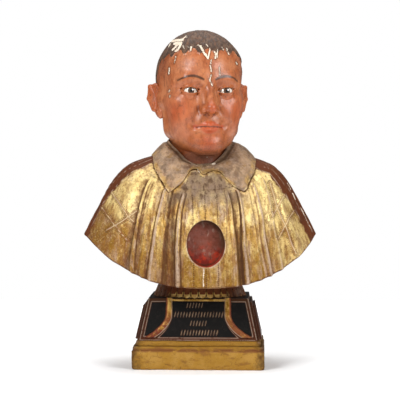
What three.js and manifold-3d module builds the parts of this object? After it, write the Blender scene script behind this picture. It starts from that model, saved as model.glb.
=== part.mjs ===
// Reliquary bust of carved, gessoed, painted and gilded wood on a sloping wooden plinth.
// Millimetres, +Z up. The front faces -Y. The origin is the middle of the slab's underside.
import * as THREE from 'three';
import { mergeVertices } from 'three/addons/utils/BufferGeometryUtils.js';
import Module from 'manifold-3d';

const wasm = await Module();
wasm.setup();

// Plinth: slab, stepped moulding, sloping block and leaf collar
const SLAB_WIDTH = 232;
const SLAB_DEPTH = 176;
const SLAB_HEIGHT = 34;
const SLAB_CORNER = 6;
const EDGE_WEAR = 2.5;
const STEP_HEIGHTS = [7, 9];
const STEP_WIDTHS = [229, 219];
const BLOCK_HEIGHT = 74;
const BLOCK_FOOT_WIDTH = 208;
const BLOCK_TOP_WIDTH = 176;
const PANEL_RISE = 4;
const PANEL_MARGIN = 8;
const BAND_WIDTH = 11;
const BAND_RISE = 3;
const BAND_OFFSET = 51.5;
const BAND_FLARE = 34;
const FILLET_HEIGHT = 4;
const LEAF_RING_WIDTH = 157;
const LEAF_RING_DEPTH = 118;
const LEAF_RING_HEIGHT = 26;
const LEAF_COUNT = 16;
const LEAF_BULGE = 5;
const LEAF_DROOP = 7;

// Bust: the free form keeps its carving as shares of these heights
const CAPE_HEIGHT = 234;
const HEAD_HEIGHT = 222;
const CHIN_ABOVE_SEAT = 226;
const TORSO_TURN = 7;
const HEAD_TURN = 6;
const HEM_THICKNESS = 7;
const FOLD_DEPTH = 8;
const ORPHREY_RISE = 2;
const COLLAR_THICKNESS = 5;

// Relic recess in the chest and the inset glass eyes
const RECESS_WIDTH = 66;
const RECESS_HEIGHT = 80;
const RECESS_DEPTH = 22;
const RECESS_ABOVE_SEAT = 73;
const EYE_DIAMETER = 25;
const EYE_CLEARANCE = 0.3;

const SEAT = SLAB_HEIGHT + STEP_HEIGHTS[0] + STEP_HEIGHTS[1] + BLOCK_HEIGHT + LEAF_RING_HEIGHT;
const RAD = Math.PI / 180;

const mix = (a, b, t) => a + (b - a) * t;
const clamp = (v, low, high) => Math.min(Math.max(v, low), high);
function smooth(low, high, v) {
  const t = clamp((v - low) / (high - low), 0, 1);
  return t * t * (3 - 2 * t);
}

// A solid from its triangles, and the geometry of a solid
function solidFrom(geometry) {
  geometry.deleteAttribute('normal');
  geometry.deleteAttribute('uv');
  const merged = mergeVertices(geometry);
  return new wasm.Manifold(new wasm.Mesh({
    numProp: 3,
    vertProperties: new Float32Array(merged.attributes.position.array),
    triVerts: new Uint32Array(merged.index.array),
  }));
}

function geometryOf(solid) {
  const mesh = solid.getMesh();
  const geometry = new THREE.BufferGeometry();
  geometry.setAttribute('position', new THREE.BufferAttribute(mesh.vertProperties, 3));
  geometry.setIndex(new THREE.BufferAttribute(mesh.triVerts, 1));
  return geometry;
}

// A closed solid from stacked rings, the first ring lowest, each ring anticlockwise from above.
// closeRound true joins the last ring to the first one instead of capping both, and
// poles gives the points where the caps meet, when they aren't flat.
function ringSolid(rings, closeRound = false, poles = []) {
  const sides = rings[0].length;
  const positions = rings.flat(2);
  const index = [];
  const at = (i, j) => (i % rings.length) * sides + (j % sides);
  const bands = closeRound ? rings.length : rings.length - 1;
  for (let i = 0; i < bands; i++) {
    for (let j = 0; j < sides; j++) {
      index.push(at(i, j), at(i, j + 1), at(i + 1, j + 1));
      index.push(at(i, j), at(i + 1, j + 1), at(i + 1, j));
    }
  }
  if (!closeRound) {
    const cap = (ring, down) => {
      const middle = [0, 1, 2].map((k) => ring.reduce((sum, p) => sum + p[k], 0) / sides);
      const centre = positions.push(...(poles[down ? 0 : 1] ?? middle)) / 3 - 1;
      const row = down ? 0 : rings.length - 1;
      for (let j = 0; j < sides; j++) {
        const pair = down ? [at(row, j + 1), at(row, j)] : [at(row, j), at(row, j + 1)];
        index.push(centre, ...pair);
      }
    };
    cap(rings[0], true);
    cap(rings[rings.length - 1], false);
  }
  const geometry = new THREE.BufferGeometry();
  geometry.setAttribute('position', new THREE.Float32BufferAttribute(positions, 3));
  geometry.setIndex(index);
  return solidFrom(geometry);
}

// Plinth

// A rectangle with worn corners, at one height
function cornerRing(width, depth, corner, z, steps = 3) {
  const ring = [];
  for (const quarter of [0, 1, 2, 3]) {
    const [sx, sy] = [[1, 1], [-1, 1], [-1, -1], [1, -1]][quarter];
    for (let i = 0; i <= steps; i++) {
      const angle = (quarter + i / steps) * 90 * RAD;
      ring.push([sx * (width / 2 - corner) + corner * Math.cos(angle),
        sy * (depth / 2 - corner) + corner * Math.sin(angle), z]);
    }
  }
  return ring;
}

function wornBoard(width, depth, base, height, wear) {
  const ring = (inset, z) => cornerRing(width - 2 * inset, depth - 2 * inset, SLAB_CORNER, z);
  return ringSolid([ring(wear / 2, base), ring(0, base + wear / 2),
    ring(0, base + height - wear), ring(wear * 0.3, base + height - wear * 0.3),
    ring(wear, base + height)]);
}

const blockBase = SLAB_HEIGHT + STEP_HEIGHTS[0] + STEP_HEIGHTS[1];
const blockTop = blockBase + BLOCK_HEIGHT;
const blockFootDepth = BLOCK_FOOT_WIDTH - (SLAB_WIDTH - SLAB_DEPTH);
const slopeInset = (BLOCK_FOOT_WIDTH - BLOCK_TOP_WIDTH) / 2;
const blockTopDepth = blockFootDepth - 2 * slopeInset;
const slopeLength = Math.hypot(slopeInset, BLOCK_HEIGHT);
const slopeAngle = Math.atan2(slopeInset, BLOCK_HEIGHT);

// A plate on one sloping face: its outline is x along the face and y up the slope
function plateOnFace(outline, rise, turn, faceDepth) {
  const sunk = 4;
  const shape = new THREE.Shape(outline.map(([x, y]) => new THREE.Vector2(x, y)));
  const plate = new THREE.ExtrudeGeometry(shape, { depth: rise + sunk, bevelEnabled: false });
  plate.translate(0, 0, -sunk);
  plate.rotateX(Math.PI / 2 - slopeAngle);
  plate.translate(0, -faceDepth / 2, blockBase);
  plate.rotateZ(turn);
  return solidFrom(plate);
}

// The outline of a sloping face, drawn in by a margin at its sides and top
function faceOutline(footWidth, margin) {
  const foot = footWidth / 2 - margin;
  const top = foot - slopeInset;
  return [[-foot, 0], [foot, 0], [top, slopeLength - margin], [-top, slopeLength - margin]];
}

// A gilt scroll band runs up the face and flares towards the foot of the block
function bandMiddle(up) {
  const flareStart = 0.6;
  const down = clamp((flareStart - up) / flareStart, 0, 1);
  return BAND_OFFSET + BAND_FLARE * down * down;
}

function scrollBand(side) {
  const steps = 10;
  const inner = [];
  const outer = [];
  for (let i = 0; i <= steps; i++) {
    const up = i / steps;
    const flare = (bandMiddle(up + 0.01) - bandMiddle(up)) / (0.01 * slopeLength);
    const half = (BAND_WIDTH / 2) * Math.hypot(1, flare);
    const y = mix(BAND_WIDTH / 2, slopeLength, up);
    inner.push([side * (bandMiddle(up) - half), y]);
    outer.unshift([side * (bandMiddle(up) + half), y]);
  }
  const outline = [...inner, ...outer];
  return plateOnFace(side < 0 ? outline : outline.reverse(), BAND_RISE, 0, blockFootDepth);
}

// Round-ended leaves hang side by side round the collar under the bust
function leafRing(z, leafTop, inward = 0) {
  const perLeaf = 5;
  const ring = [];
  for (let j = 0; j < LEAF_COUNT * perLeaf; j++) {
    const angle = (j / (LEAF_COUNT * perLeaf)) * 2 * Math.PI;
    const across = ((j % perLeaf) / perLeaf) * 2 - 1;
    const tip = blockTop - LEAF_DROOP;
    const below = clamp((leafTop - z) / (leafTop - tip), 0, 1);
    const halfWidth = Math.sqrt(Math.max(1 - below ** 3, 0.02));
    const crown = Math.sqrt(Math.max(1 - (across / halfWidth) ** 2, 0));
    const lean = LEAF_BULGE * 0.7 * below;
    const out = crown * (LEAF_BULGE * mix(0.7, 1, below)) + lean - inward;
    ring.push([(LEAF_RING_WIDTH / 2 - LEAF_BULGE + out) * Math.cos(angle),
      (LEAF_RING_DEPTH / 2 - LEAF_BULGE + out) * Math.sin(angle), z]);
  }
  return ring;
}

function leafCollar() {
  const leafTop = blockTop + LEAF_RING_HEIGHT * 0.55;
  const tip = blockTop - LEAF_DROOP;
  const levels = [tip + 0.5, mix(tip, leafTop, 0.3), mix(tip, leafTop, 0.6), leafTop];
  const rings = levels.map((z) => leafRing(z, leafTop));
  return ringSolid([...rings, leafRing(SEAT - EDGE_WEAR, leafTop), leafRing(SEAT, leafTop, EDGE_WEAR)]);
}

function plinth() {
  let solid = wornBoard(SLAB_WIDTH, SLAB_DEPTH, 0, SLAB_HEIGHT, EDGE_WEAR);
  let z = SLAB_HEIGHT;
  for (const [i, width] of STEP_WIDTHS.entries()) {
    const depth = width - (SLAB_WIDTH - SLAB_DEPTH);
    solid = solid.add(wornBoard(width, depth, z - EDGE_WEAR, STEP_HEIGHTS[i] + EDGE_WEAR, EDGE_WEAR));
    z += STEP_HEIGHTS[i];
  }
  const corner = 1.5;
  solid = solid.add(ringSolid([
    cornerRing(BLOCK_FOOT_WIDTH, blockFootDepth, corner, blockBase - EDGE_WEAR, 1),
    cornerRing(BLOCK_FOOT_WIDTH, blockFootDepth, corner, blockBase, 1),
    cornerRing(BLOCK_TOP_WIDTH, blockTopDepth, corner, blockTop, 1)]));
  for (const side of [-1, 1]) {
    for (const step of [1, 2]) {
      const outline = faceOutline(blockFootDepth, PANEL_MARGIN * step);
      solid = solid.add(plateOnFace(outline, PANEL_RISE * step, side * Math.PI / 2, BLOCK_FOOT_WIDTH));
    }
    solid = solid.add(scrollBand(side));
  }
  solid = solid.add(plateOnFace(faceOutline(BLOCK_FOOT_WIDTH, PANEL_MARGIN * 2), PANEL_RISE,
    Math.PI, blockFootDepth));
  const filletHalf = BAND_OFFSET - BAND_WIDTH / 2 + 1;
  const filletTop = slopeLength - 2;
  solid = solid.add(plateOnFace([[-filletHalf, filletTop - FILLET_HEIGHT],
    [filletHalf, filletTop - FILLET_HEIGHT], [filletHalf, filletTop], [-filletHalf, filletTop]],
  BAND_RISE / 2, 0, blockFootDepth));
  return solid.add(leafCollar());
}

// Cape

// Three profiles from the hem up to the neck: reach from the axis and height above the seat,
// in parts of which the cape is CAPE_PARTS high
const CAPE_PARTS = 234;
const cape = CAPE_HEIGHT / CAPE_PARTS;
const profile = (points) => new THREE.SplineCurve(points.map(([r, z]) => new THREE.Vector2(r, z)));
const SIDE = profile([[208, 85], [178, 143], [154, 184], [127, 210], [86, 225], [46, 234]]);
const FRONT = profile([[135, -3], [128, 62], [118, 108], [99, 156], [74, 192], [40, 212]]);
const BACK = profile([[106, 18], [112, 78], [107, 122], [96, 168], [72, 208], [40, 234]]);
const ROUNDNESS = 2.2;
const HEM_RISE = 2.4;
const YOKE_EDGE = 0.6;
const BAND_REACH = 180;

// Fold lines on each side, from the orphrey's edge outwards: how far the cloth stands out there, from
// 0 in a valley to 1 on a crest, and the angle round from the front at the hem and three heights above
const LINE_HEIGHTS = [0, 0.2, 0.4, 0.6];
const FOLD_LINES = {
  left: [
    [0.1, 10.6, 10.4, 9.1, 7.6], [0.7, 13.4, 14, 13.2, 11.2], [0.15, 15, 16, 16.5, 17.6],
    [0.45, 17.4, 18.4, 19.5, 20], [0, 20.6, 21.3, 21.9, 23], [1, 25.5, 27, 28.1, 28.6],
    [0.35, 27.8, 30.6, 33, 34.8], [0.7, 29.5, 33.3, 35.8, 37.6], [0.1, 31.6, 37.2, 39.9, 41.3],
    [0.6, 34.8, 39.9, 43, 45], [0, 37.8, 41.6, 44.9, 47.8], [0.5, 48, 51, 53, 56],
  ],
  right: [
    [0.1, 8.9, 9.5, 9.8, 10.9], [0.75, 14.4, 14.3, 13.2, 13.2], [0, 16.4, 16.7, 16.1, 15.8],
    [1, 19, 19.4, 21.6, 23.4], [0.3, 21.7, 22.4, 25.4, 28], [0.75, 25.2, 27, 29.3, 32.2],
    [0.2, 28.2, 29.7, 32.2, 35.6], [1, 30.6, 32, 35.6, 38.8], [0.15, 33.2, 35.5, 40, 45],
    [0.65, 37.8, 40, 44.9, 51], [0.1, 42, 44, 50, 56], [0.5, 52, 53, 56, 60],
  ],
};
const PLAIN_FOLDS = { start: 66, spacing: 8.2, count: 14, valley: 0.1, crest: 0.7 };

// Round the sides and back the folds are alike, a valley and a crest in turn
for (const lines of Object.values(FOLD_LINES)) {
  for (let i = 0; i < PLAIN_FOLDS.count; i++) {
    const turn = PLAIN_FOLDS.start + PLAIN_FOLDS.spacing * i;
    lines.push([i % 2 ? PLAIN_FOLDS.crest : PLAIN_FOLDS.valley, turn, turn, turn, turn]);
  }
}

function lineAngle(line, up) {
  let i = 0;
  while (i < LINE_HEIGHTS.length - 2 && up > LINE_HEIGHTS[i + 1]) i++;
  const share = clamp((up - LINE_HEIGHTS[i]) / (LINE_HEIGHTS[i + 1] - LINE_HEIGHTS[i]), 0, 1);
  return mix(line[i + 1], line[i + 2], share);
}

// How far the cloth stands out at an angle and a height share
function foldRise(angle, up) {
  const turn = Math.abs(angle);
  const gathered = smooth(YOKE_EDGE + 0.03, YOKE_EDGE - 0.14, up);
  const lines = angle < 0 ? FOLD_LINES.left : FOLD_LINES.right;
  const next = lines.findIndex((line) => lineAngle(line, up) > turn);
  if (next === 0) return gathered * ORPHREY_RISE;
  const before = lines.at(next < 0 ? -1 : next - 1);
  const after = next < 0 ? before : lines[next];
  const from = lineAngle(before, up);
  const share = next < 0 ? 0 : (turn - from) / (lineAngle(after, up) - from);
  const tall = mix(before[0], after[0], 0.5 - 0.5 * Math.cos(Math.PI * share));
  return gathered * mix(1, 0.35, smooth(48, 66, turn)) * FOLD_DEPTH * tall;
}

// A point of the cape, with extra reach added along its outward direction
function capePoint(angle, up, extra = 0, drop = 0) {
  const turn = Math.abs(angle) * RAD;
  const side = SIDE.getPoint(up);
  const fore = angle > -90 && angle < 90 ? FRONT.getPoint(up) : BACK.getPoint(up);
  const share = Math.abs(Math.sin(turn)) ** (2 / ROUNDNESS);
  const inFront = Math.cos(turn) >= 0;
  const straight = inFront ? 1 - smooth(0.15, 0.5, share) : 0;
  const across = share * mix(1, Math.min(BAND_REACH / side.x, 1.25), straight);
  const along = Math.max(1 - across ** ROUNDNESS, 0) ** (1 / ROUNDNESS);
  const x = Math.sign(angle) * side.x * across;
  const y = (inFront ? -1 : 1) * fore.x * along;
  const z = fore.y + (side.y - fore.y) * across ** HEM_RISE;
  const outward = new THREE.Vector2(x / side.x ** 2, y / fore.x ** 2).normalize();
  const reach = foldRise(angle, up) / cape + extra / cape;
  return [cape * (x + outward.x * reach), cape * (y + outward.y * reach), SEAT + cape * z - drop];
}

// Column angles at a height share: they run along the fold lines and midway between those in front
function foldColumns(up) {
  const half = (lines) => {
    const stops = lines.map((line) => lineAngle(line, up));
    const angles = [stops[0] * 0.5, stops[0] - 0.4];
    stops.forEach((stop, i) => {
      angles.push(stop);
      if (i < lines.length - PLAIN_FOLDS.count) angles.push((stop + stops[i + 1]) / 2);
    });
    return angles;
  };
  const left = half(FOLD_LINES.left).map((a) => -a);
  return [0, ...half(FOLD_LINES.right), 180, ...left.reverse()];
}

function capeSolid() {
  const ring = (pointAt, up = 0) => foldColumns(up).map(pointAt);
  const seatWidth = LEAF_RING_WIDTH - 2 * EDGE_WEAR;
  const seatDepth = LEAF_RING_DEPTH - 2 * EDGE_WEAR;
  const lip = 6;
  const seatPoint = (angle, grow) => [
    Math.sin(angle * RAD) * (seatWidth / 2) * grow,
    -Math.cos(angle * RAD) * (seatDepth / 2) * grow, SEAT];
  const underside = (angle, share) => {
    const hem = capePoint(angle, 0, -2.5 * HEM_THICKNESS);
    const seat = seatPoint(angle, 1);
    const z = Math.max(hem[2] + lip, SEAT + 2 * EDGE_WEAR);
    return [mix(seat[0], hem[0], share), mix(seat[1], hem[1], share), mix(SEAT, z, share)];
  };
  const rings = [
    ring((a) => seatPoint(a, 0.5)),
    ring((a) => seatPoint(a, 1)),
    ring((a) => underside(a, 0.5)),
    ring((a) => underside(a, 1)),
    ring((a) => capePoint(a, 0, -HEM_THICKNESS)),
  ];
  const levels = [0, 0.12, 0.26, 0.4, 0.51, 0.6, 0.7, 0.84, 1];
  for (const up of levels) rings.push(ring((a) => capePoint(a, up), up));
  return ringSolid(rings);
}

// Turn-down collar: a band of cloth from the rim at the neck out to its edge on the cape.
// Each stop gives the rim's angle, and the edge's angle and height share on the cape.
const COLLAR_STOPS = {
  left: {
    inner: [[0, 0, 0.95], [8, 5, 0.9], [16, 12.5, 0.83], [26, 18, 0.67], [34, 24.5, 0.585]],
    outer: [[34, 24.5, 0.585], [48, 34, 0.64], [62, 47, 0.71], [82, 74, 0.8], [110, 112, 0.81],
      [145, 146, 0.78], [180, 180, 0.74]],
  },
  right: {
    inner: [[0, 0, 0.95], [9, 6, 0.9], [18, 13, 0.82], [27, 20.5, 0.69], [36, 28.5, 0.575]],
    outer: [[36, 28.5, 0.575], [52, 40, 0.64], [68, 56, 0.7], [86, 82, 0.76], [115, 118, 0.79],
      [150, 150, 0.77], [180, 180, 0.74]],
  },
};

// The rim goes with the head: it is lowest under the chin and rises round the neck.
const RIM_BELOW_CHIN = 24;
const RIM_RISE = 48;
const NAPE_RISE = 8;

function rimPoint(angle, grow, lift) {
  const turn = angle * RAD;
  const height = Math.abs(angle) < 90
    ? RIM_RISE * Math.abs(Math.sin(turn)) ** 1.8
    : RIM_RISE - NAPE_RISE * Math.cos(turn);
  return [cape * (55 + grow) * Math.sin(turn), cape * (5 - (58 + grow) * Math.cos(turn)),
    SEAT + CHIN_ABOVE_SEAT + cape * (height - RIM_BELOW_CHIN) + lift];
}

function collarStops() {
  const side = ({ inner, outer }) => {
    const list = [];
    for (const [stops, count] of [[inner, 6], [outer, 13]]) {
      const curve = new THREE.CatmullRomCurve3(stops.map((s) => new THREE.Vector3(...s)));
      for (let i = 0; i < count; i++) list.push(curve.getPoint(i / count).toArray());
    }
    return list;
  };
  const right = side(COLLAR_STOPS.right);
  const left = side(COLLAR_STOPS.left).slice(1).reverse();
  return [...right, COLLAR_STOPS.right.outer.at(-1), ...left.map(([rim, edge, up]) => [-rim, -edge, up])];
}

function collarSection([rimAngle, edgeAngle, edgeUp]) {
  const t = COLLAR_THICKNESS;
  const rim = rimPoint(rimAngle, 0, 0);
  const edge = capePoint(edgeAngle, edgeUp, t);
  const fall = Math.hypot(rim[0] - edge[0], rim[1] - edge[1], rim[2] - edge[2]);
  const over = (share, lift) => [0, 1, 2].map((k) => mix(rim[k], edge[k], share) + (k === 2 ? lift : 0));
  const arch = (share) => Math.sin(Math.PI * share) * fall * 0.13;
  const below = (share, depth) => {
    const p = over(share, -depth);
    return [p[0] * 0.93, p[1] * 0.93, p[2]];
  };
  return [
    rimPoint(rimAngle, 0, -18),
    rim,
    rimPoint(rimAngle, t * 0.5, t * 0.7),
    over(0.25, arch(0.25) + t * 0.5),
    over(0.6, arch(0.6)),
    edge,
    capePoint(edgeAngle, edgeUp, -0.5),
    below(0.9, 9),
    below(0.45, 16),
  ];
}

// Head: lumps of clay blended together, in parts of which the head is HEAD_PARTS high.
// x is mirrored, -y is the face, and z starts at the chin.
const HEAD_PARTS = 222;
const head = HEAD_HEIGHT / HEAD_PARTS;
const EYE_PLACE = [31.5, -74.5, 111];

const egg = (centre, radii) => (x, y, z) => {
  const [a, b, c] = [(x - centre[0]) / radii[0], (y - centre[1]) / radii[1], (z - centre[2]) / radii[2]];
  const near = Math.hypot(a, b, c) + 1e-6;
  return near * (near - 1) / (Math.hypot(a / radii[0], b / radii[1], c / radii[2]) + 1e-9);
};

const limb = (from, to, startRadius, endRadius) => (x, y, z) => {
  const d = [to[0] - from[0], to[1] - from[1], to[2] - from[2]];
  const e = [x - from[0], y - from[1], z - from[2]];
  const t = clamp((e[0] * d[0] + e[1] * d[1] + e[2] * d[2]) / (d[0] ** 2 + d[1] ** 2 + d[2] ** 2), 0, 1);
  const gap = Math.hypot(e[0] - d[0] * t, e[1] - d[1] * t, e[2] - d[2] * t);
  return gap - mix(startRadius, endRadius, t);
};

const add = (blend, form) => ({ sign: 1, blend, form });
const carve = (blend, form) => ({ sign: -1, blend, form });

const HEAD_FORMS = [
  add(1, egg([0, 6, 139], [76, 93, 83])), // skull
  add(24, egg([0, -32, 150], [60, 56, 50])), // forehead
  add(22, egg([0, -30, 84], [56, 56, 68])), // face
  add(18, egg([45, -52, 95], [19, 24, 15])), // cheekbone
  add(20, limb([52, -42, 97], [67, -4, 101], 10, 8)),
  add(20, egg([32, -46, 66], [29, 37, 38])), // cheek
  add(28, limb([46, -8, 46], [16, -66, 19], 13, 13)), // jaw
  add(26, limb([47, -4, 48], [56, 2, 92], 13, 12)),
  add(16, egg([0, -71, 19], [24, 18, 18])), // chin
  add(20, egg([0, -26, 28], [42, 48, 22])),
  add(14, egg([0, -62, 54], [32, 29, 30])), // muzzle
  carve(22, egg([92, -50, 128], [20, 30, 28])), // temple
  add(14, limb([8, -82, 129], [36, -75, 132], 7.5, 7)), // brow
  add(14, limb([36, -75, 132], [54, -57, 126], 7, 6)),
  carve(11, egg([31, -99, 112], [18.5, 17, 12])), // eye hollow
  carve(9, egg([17, -99, 116], [6, 11, 9])),
  add(10, limb([0, -82.5, 126], [0, -107.5, 82], 6.4, 7.6)), // nose
  add(9, limb([6, -80, 108], [9, -91, 82], 7.5, 7.5)),
  add(6, egg([0, -107.5, 79.5], [9.2, 9.5, 8.6])),
  add(4, egg([11, -96.5, 77], [6.6, 10.5, 7.2])), // nose wing
  add(4, limb([0, -107.5, 73.5], [0, -92, 70], 4, 4.4)),
  carve(5, egg([19.5, -91, 79], [2, 7, 6.5])),
  add(4, limb([3.5, -90.5, 52.2], [23, -80.5, 49.3], 4.6, 2.4)), // upper lip
  add(4, limb([0, -88.6, 43.6], [20.5, -80.6, 46.8], 5.6, 3)), // lower lip
  carve(2.6, limb([0, -96.5, 48.4], [25, -84.8, 47.6], 1, 1.1)), // mouth line
  carve(11, egg([0, -97.5, 33.5], [17, 7.5, 4.2])), // hollow under the lip
  carve(9, limb([21, -93, 75], [34, -81.5, 52], 0.9, 0.9)), // cheek crease
  add(4.5, egg(EYE_PLACE, [14.3, 14.3, 14.3])), // eyelids
  add(14, limb([0, 6, -20], [0, 14, 50], 50, 46)), // neck
  add(16, limb([42, 20, 40], [15, -34, -20], 8, 8)),
];

const EAR_FORMS = [
  add(1, egg([0, 3, -1], [15, 25, 5])), // shell
  add(6, egg([-5, -21, -0.5], [8.5, 11, 4.2])), // lobe
  carve(3, egg([-2, 4, 5], [12, 20, 5.2])),
  add(3, limb([-8, 20, 2], [8, 24, 2.5], 3.2, 3.2)), // rim
  add(3, limb([8, 24, 2.5], [15, 6, 2.5], 3.2, 3.2)),
  add(3, limb([15, 6, 2.5], [9, -14, 1.5], 3.2, 2.8)),
  add(3, limb([4, 14, 1], [7, -4, 1], 2.6, 2.6)), // inner ridge
  carve(3, egg([-2.5, -3.5, 2.5], [7, 9.5, 5.5])), // bowl
  add(3, egg([-10.5, -4.5, 2], [3.5, 5, 3.2])),
  add(4, egg([-7, 2, -8], [7, 20, 9])), // root in the head
];

function blended(forms, x, y, z) {
  let d = forms[0].form(x, y, z);
  for (const { sign, blend, form } of forms.slice(1)) {
    const other = form(x, y, z);
    const h = Math.max(blend - Math.abs(sign > 0 ? d - other : d + other), 0) / blend;
    const soften = h * h * blend * 0.25;
    d = sign > 0 ? Math.min(d, other) - soften : Math.max(d, -other) + soften;
  }
  return d;
}

// Short cropped hair stands a little proud of the skull, with small pointed locks at its edge
const HAIR_RISE = 2.6;
const LOCK_WIDTH = 20;
function hairShare(x, y, z) {
  const turn = Math.atan2(Math.abs(x), -y) / RAD;
  const lock = Math.abs(((turn / LOCK_WIDTH) % 1) - 0.5) * 2;
  const edge = mix(182, 92, smooth(28, 82, turn)) - 22 * smooth(82, 150, turn) + 8 * (lock - 0.5);
  return smooth(-3, 3, z - edge);
}

const headDistance = (x, y, z) => blended(HEAD_FORMS, Math.abs(x), y, z) - HAIR_RISE * hairShare(x, y, z);
const earDistance = (x, y, z) => blended(EAR_FORMS, x, y, z);

// The first surface met by a ray that runs inward to a centre
function castInward(distance, centre, direction, start) {
  let reach = start;
  for (let i = 0; i < 90; i++) {
    const p = centre.map((v, k) => v + direction[k] * reach);
    const d = distance(...p);
    if (Math.abs(d) < 0.02) break;
    reach -= d * 0.8;
    if (reach < 1) break;
  }
  return centre.map((v, k) => v + direction[k] * Math.max(reach, 1));
}

// A closed skin round a centre, from rays at the given turns and tilts
function castSolid(distance, centre, turns, tilts, start) {
  const rings = tilts.map((tilt) => turns.map((turn) => castInward(distance, centre, [
    Math.sin(turn * RAD) * Math.cos(tilt * RAD),
    -Math.cos(turn * RAD) * Math.cos(tilt * RAD),
    Math.sin(tilt * RAD)], start)));
  const poles = [-1, 1].map((end) => castInward(distance, centre, [0, 0, end], start));
  return ringSolid(rings, false, poles);
}

// Angles that crowd together round the middle of the face
function crowded(count, from, to, middle, pull) {
  return Array.from({ length: count }, (_, i) => {
    const t = mix(from, to, i / (count - 1));
    const s = (t - middle) / 180;
    return middle + 180 * Math.sign(s) * mix(Math.abs(s), Math.abs(s) ** 2, pull);
  });
}

const turnCount = 50;
const HEAD_TURNS = crowded(turnCount + 1, -180, 180, 0, 0.62).slice(0, turnCount);
const HEAD_TILTS = [-78, -66, -57, -51, -47, -43, -39.5, -36.5, -34, -31.5, -29, -26, -23,
  -19.5, -16, -12, -8, -4, 0, 4, 8.5, 14, 21, 29, 35, 40, 45, 52, 64, 77];

// From the head's own parts to the torso
function placeHead(solid) {
  return solid.scale([head, head, head]).rotate([0, 0, HEAD_TURN]).translate([0, 0, SEAT + CHIN_ABOVE_SEAT]);
}

function earSolid(side) {
  const turns = Array.from({ length: 14 }, (_, i) => i * 360 / 14);
  const tilts = [-70, -45, -25, -8, 8, 25, 45, 70];
  const solid = castSolid((x, y, z) => earDistance(x, z, -y), [0, 0, 2], turns, tilts, 45);
  const ear = solid.rotate([0, 0, 90]).rotate([-12, 0, 0]).rotate([0, 0, -30]).scale([1.12, 1.12, 1.12])
    .translate([78, 10, 99]);
  return side > 0 ? ear : ear.mirror([1, 0, 0]);
}

function eyeBall(side, radius) {
  const ball = new THREE.SphereGeometry(radius / head, 12, 8);
  ball.rotateX(Math.PI / 2);
  ball.translate(side * EYE_PLACE[0], EYE_PLACE[1], EYE_PLACE[2]);
  return solidFrom(ball);
}

// The almond opening between the lids
function lidOpening(side) {
  const steps = 8;
  const half = 14;
  const upper = [];
  const lower = [];
  for (let i = 1; i < steps; i++) {
    const u = mix(-half, half, i / steps);
    const arch = 1 - (u / half) ** 2;
    upper.push([u, 5.2 * arch ** 0.8]);
    lower.unshift([u, -4 * arch ** 0.9]);
  }
  const outline = [[-half, 0], ...lower.reverse(), [half, 0], ...upper.reverse()];
  const shape = new THREE.Shape(outline.map(([u, v]) => new THREE.Vector2(u, v + 0.06 * u * side)));
  const prism = new THREE.ExtrudeGeometry(shape, { depth: 30, bevelEnabled: false });
  prism.rotateX(Math.PI / 2);
  prism.translate(side * (EYE_PLACE[0] + 0.5), EYE_PLACE[1] - 6, EYE_PLACE[2]);
  return solidFrom(prism);
}

function headSolid() {
  let solid = castSolid(headDistance, [0, -2, 112], HEAD_TURNS, HEAD_TILTS, 190);
  for (const side of [-1, 1]) {
    solid = solid.add(earSolid(side));
    solid = solid.subtract(eyeBall(side, EYE_DIAMETER / 2 + EYE_CLEARANCE)).subtract(lidOpening(side));
  }
  return placeHead(solid);
}

// An oval recess for the relic, its floor flat and upright
function recessSolid() {
  const sides = 40;
  const front = -capePoint(0, 0.35)[1] + 30;
  const face = -capePoint(0, 0.35)[1];
  const ring = (y, grow) => Array.from({ length: sides }, (_, j) => {
    const angle = (j / sides) * 2 * Math.PI;
    return [(RECESS_WIDTH / 2 + grow) * Math.cos(angle), -y,
      SEAT + RECESS_ABOVE_SEAT + (RECESS_HEIGHT / 2 + grow) * Math.sin(angle)];
  });
  return ringSolid([ring(face - RECESS_DEPTH, -3), ring(face - RECESS_DEPTH + 3, 0), ring(front, 0)]);
}

function bust() {
  const collar = ringSolid(collarStops().map(collarSection), true);
  return capeSolid().add(collar).add(headSolid()).subtract(recessSolid()).rotate([0, 0, TORSO_TURN]);
}

const giltWood = new THREE.MeshStandardMaterial({ color: 0xb08a45, roughness: 0.45, metalness: 0.5 });
const paintedWood = new THREE.MeshStandardMaterial({ color: 0x8a5a34, roughness: 0.6, metalness: 0.1 });
const glass = new THREE.MeshStandardMaterial({ color: 0xe8e4da, roughness: 0.1, metalness: 0 });

function piece(name, solid, material) {
  const mesh = new THREE.Mesh(geometryOf(solid), material);
  mesh.name = name;
  return mesh;
}

const group = new THREE.Group();
group.add(piece('plinth', plinth(), giltWood));
group.add(piece('bust', bust(), paintedWood));
for (const [name, side] of [['left_eye', 1], ['right_eye', -1]]) {
  group.add(piece(name, placeHead(eyeBall(side, EYE_DIAMETER / 2)).rotate([0, 0, TORSO_TURN]), glass));
}

export default group;
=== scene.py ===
# Reliquary bust of carved, gessoed, painted and gilded wood on a sloping plinth.
# Shapes are worked out in millimetres and laid down in metres. The front faces -Y.
import math

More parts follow.
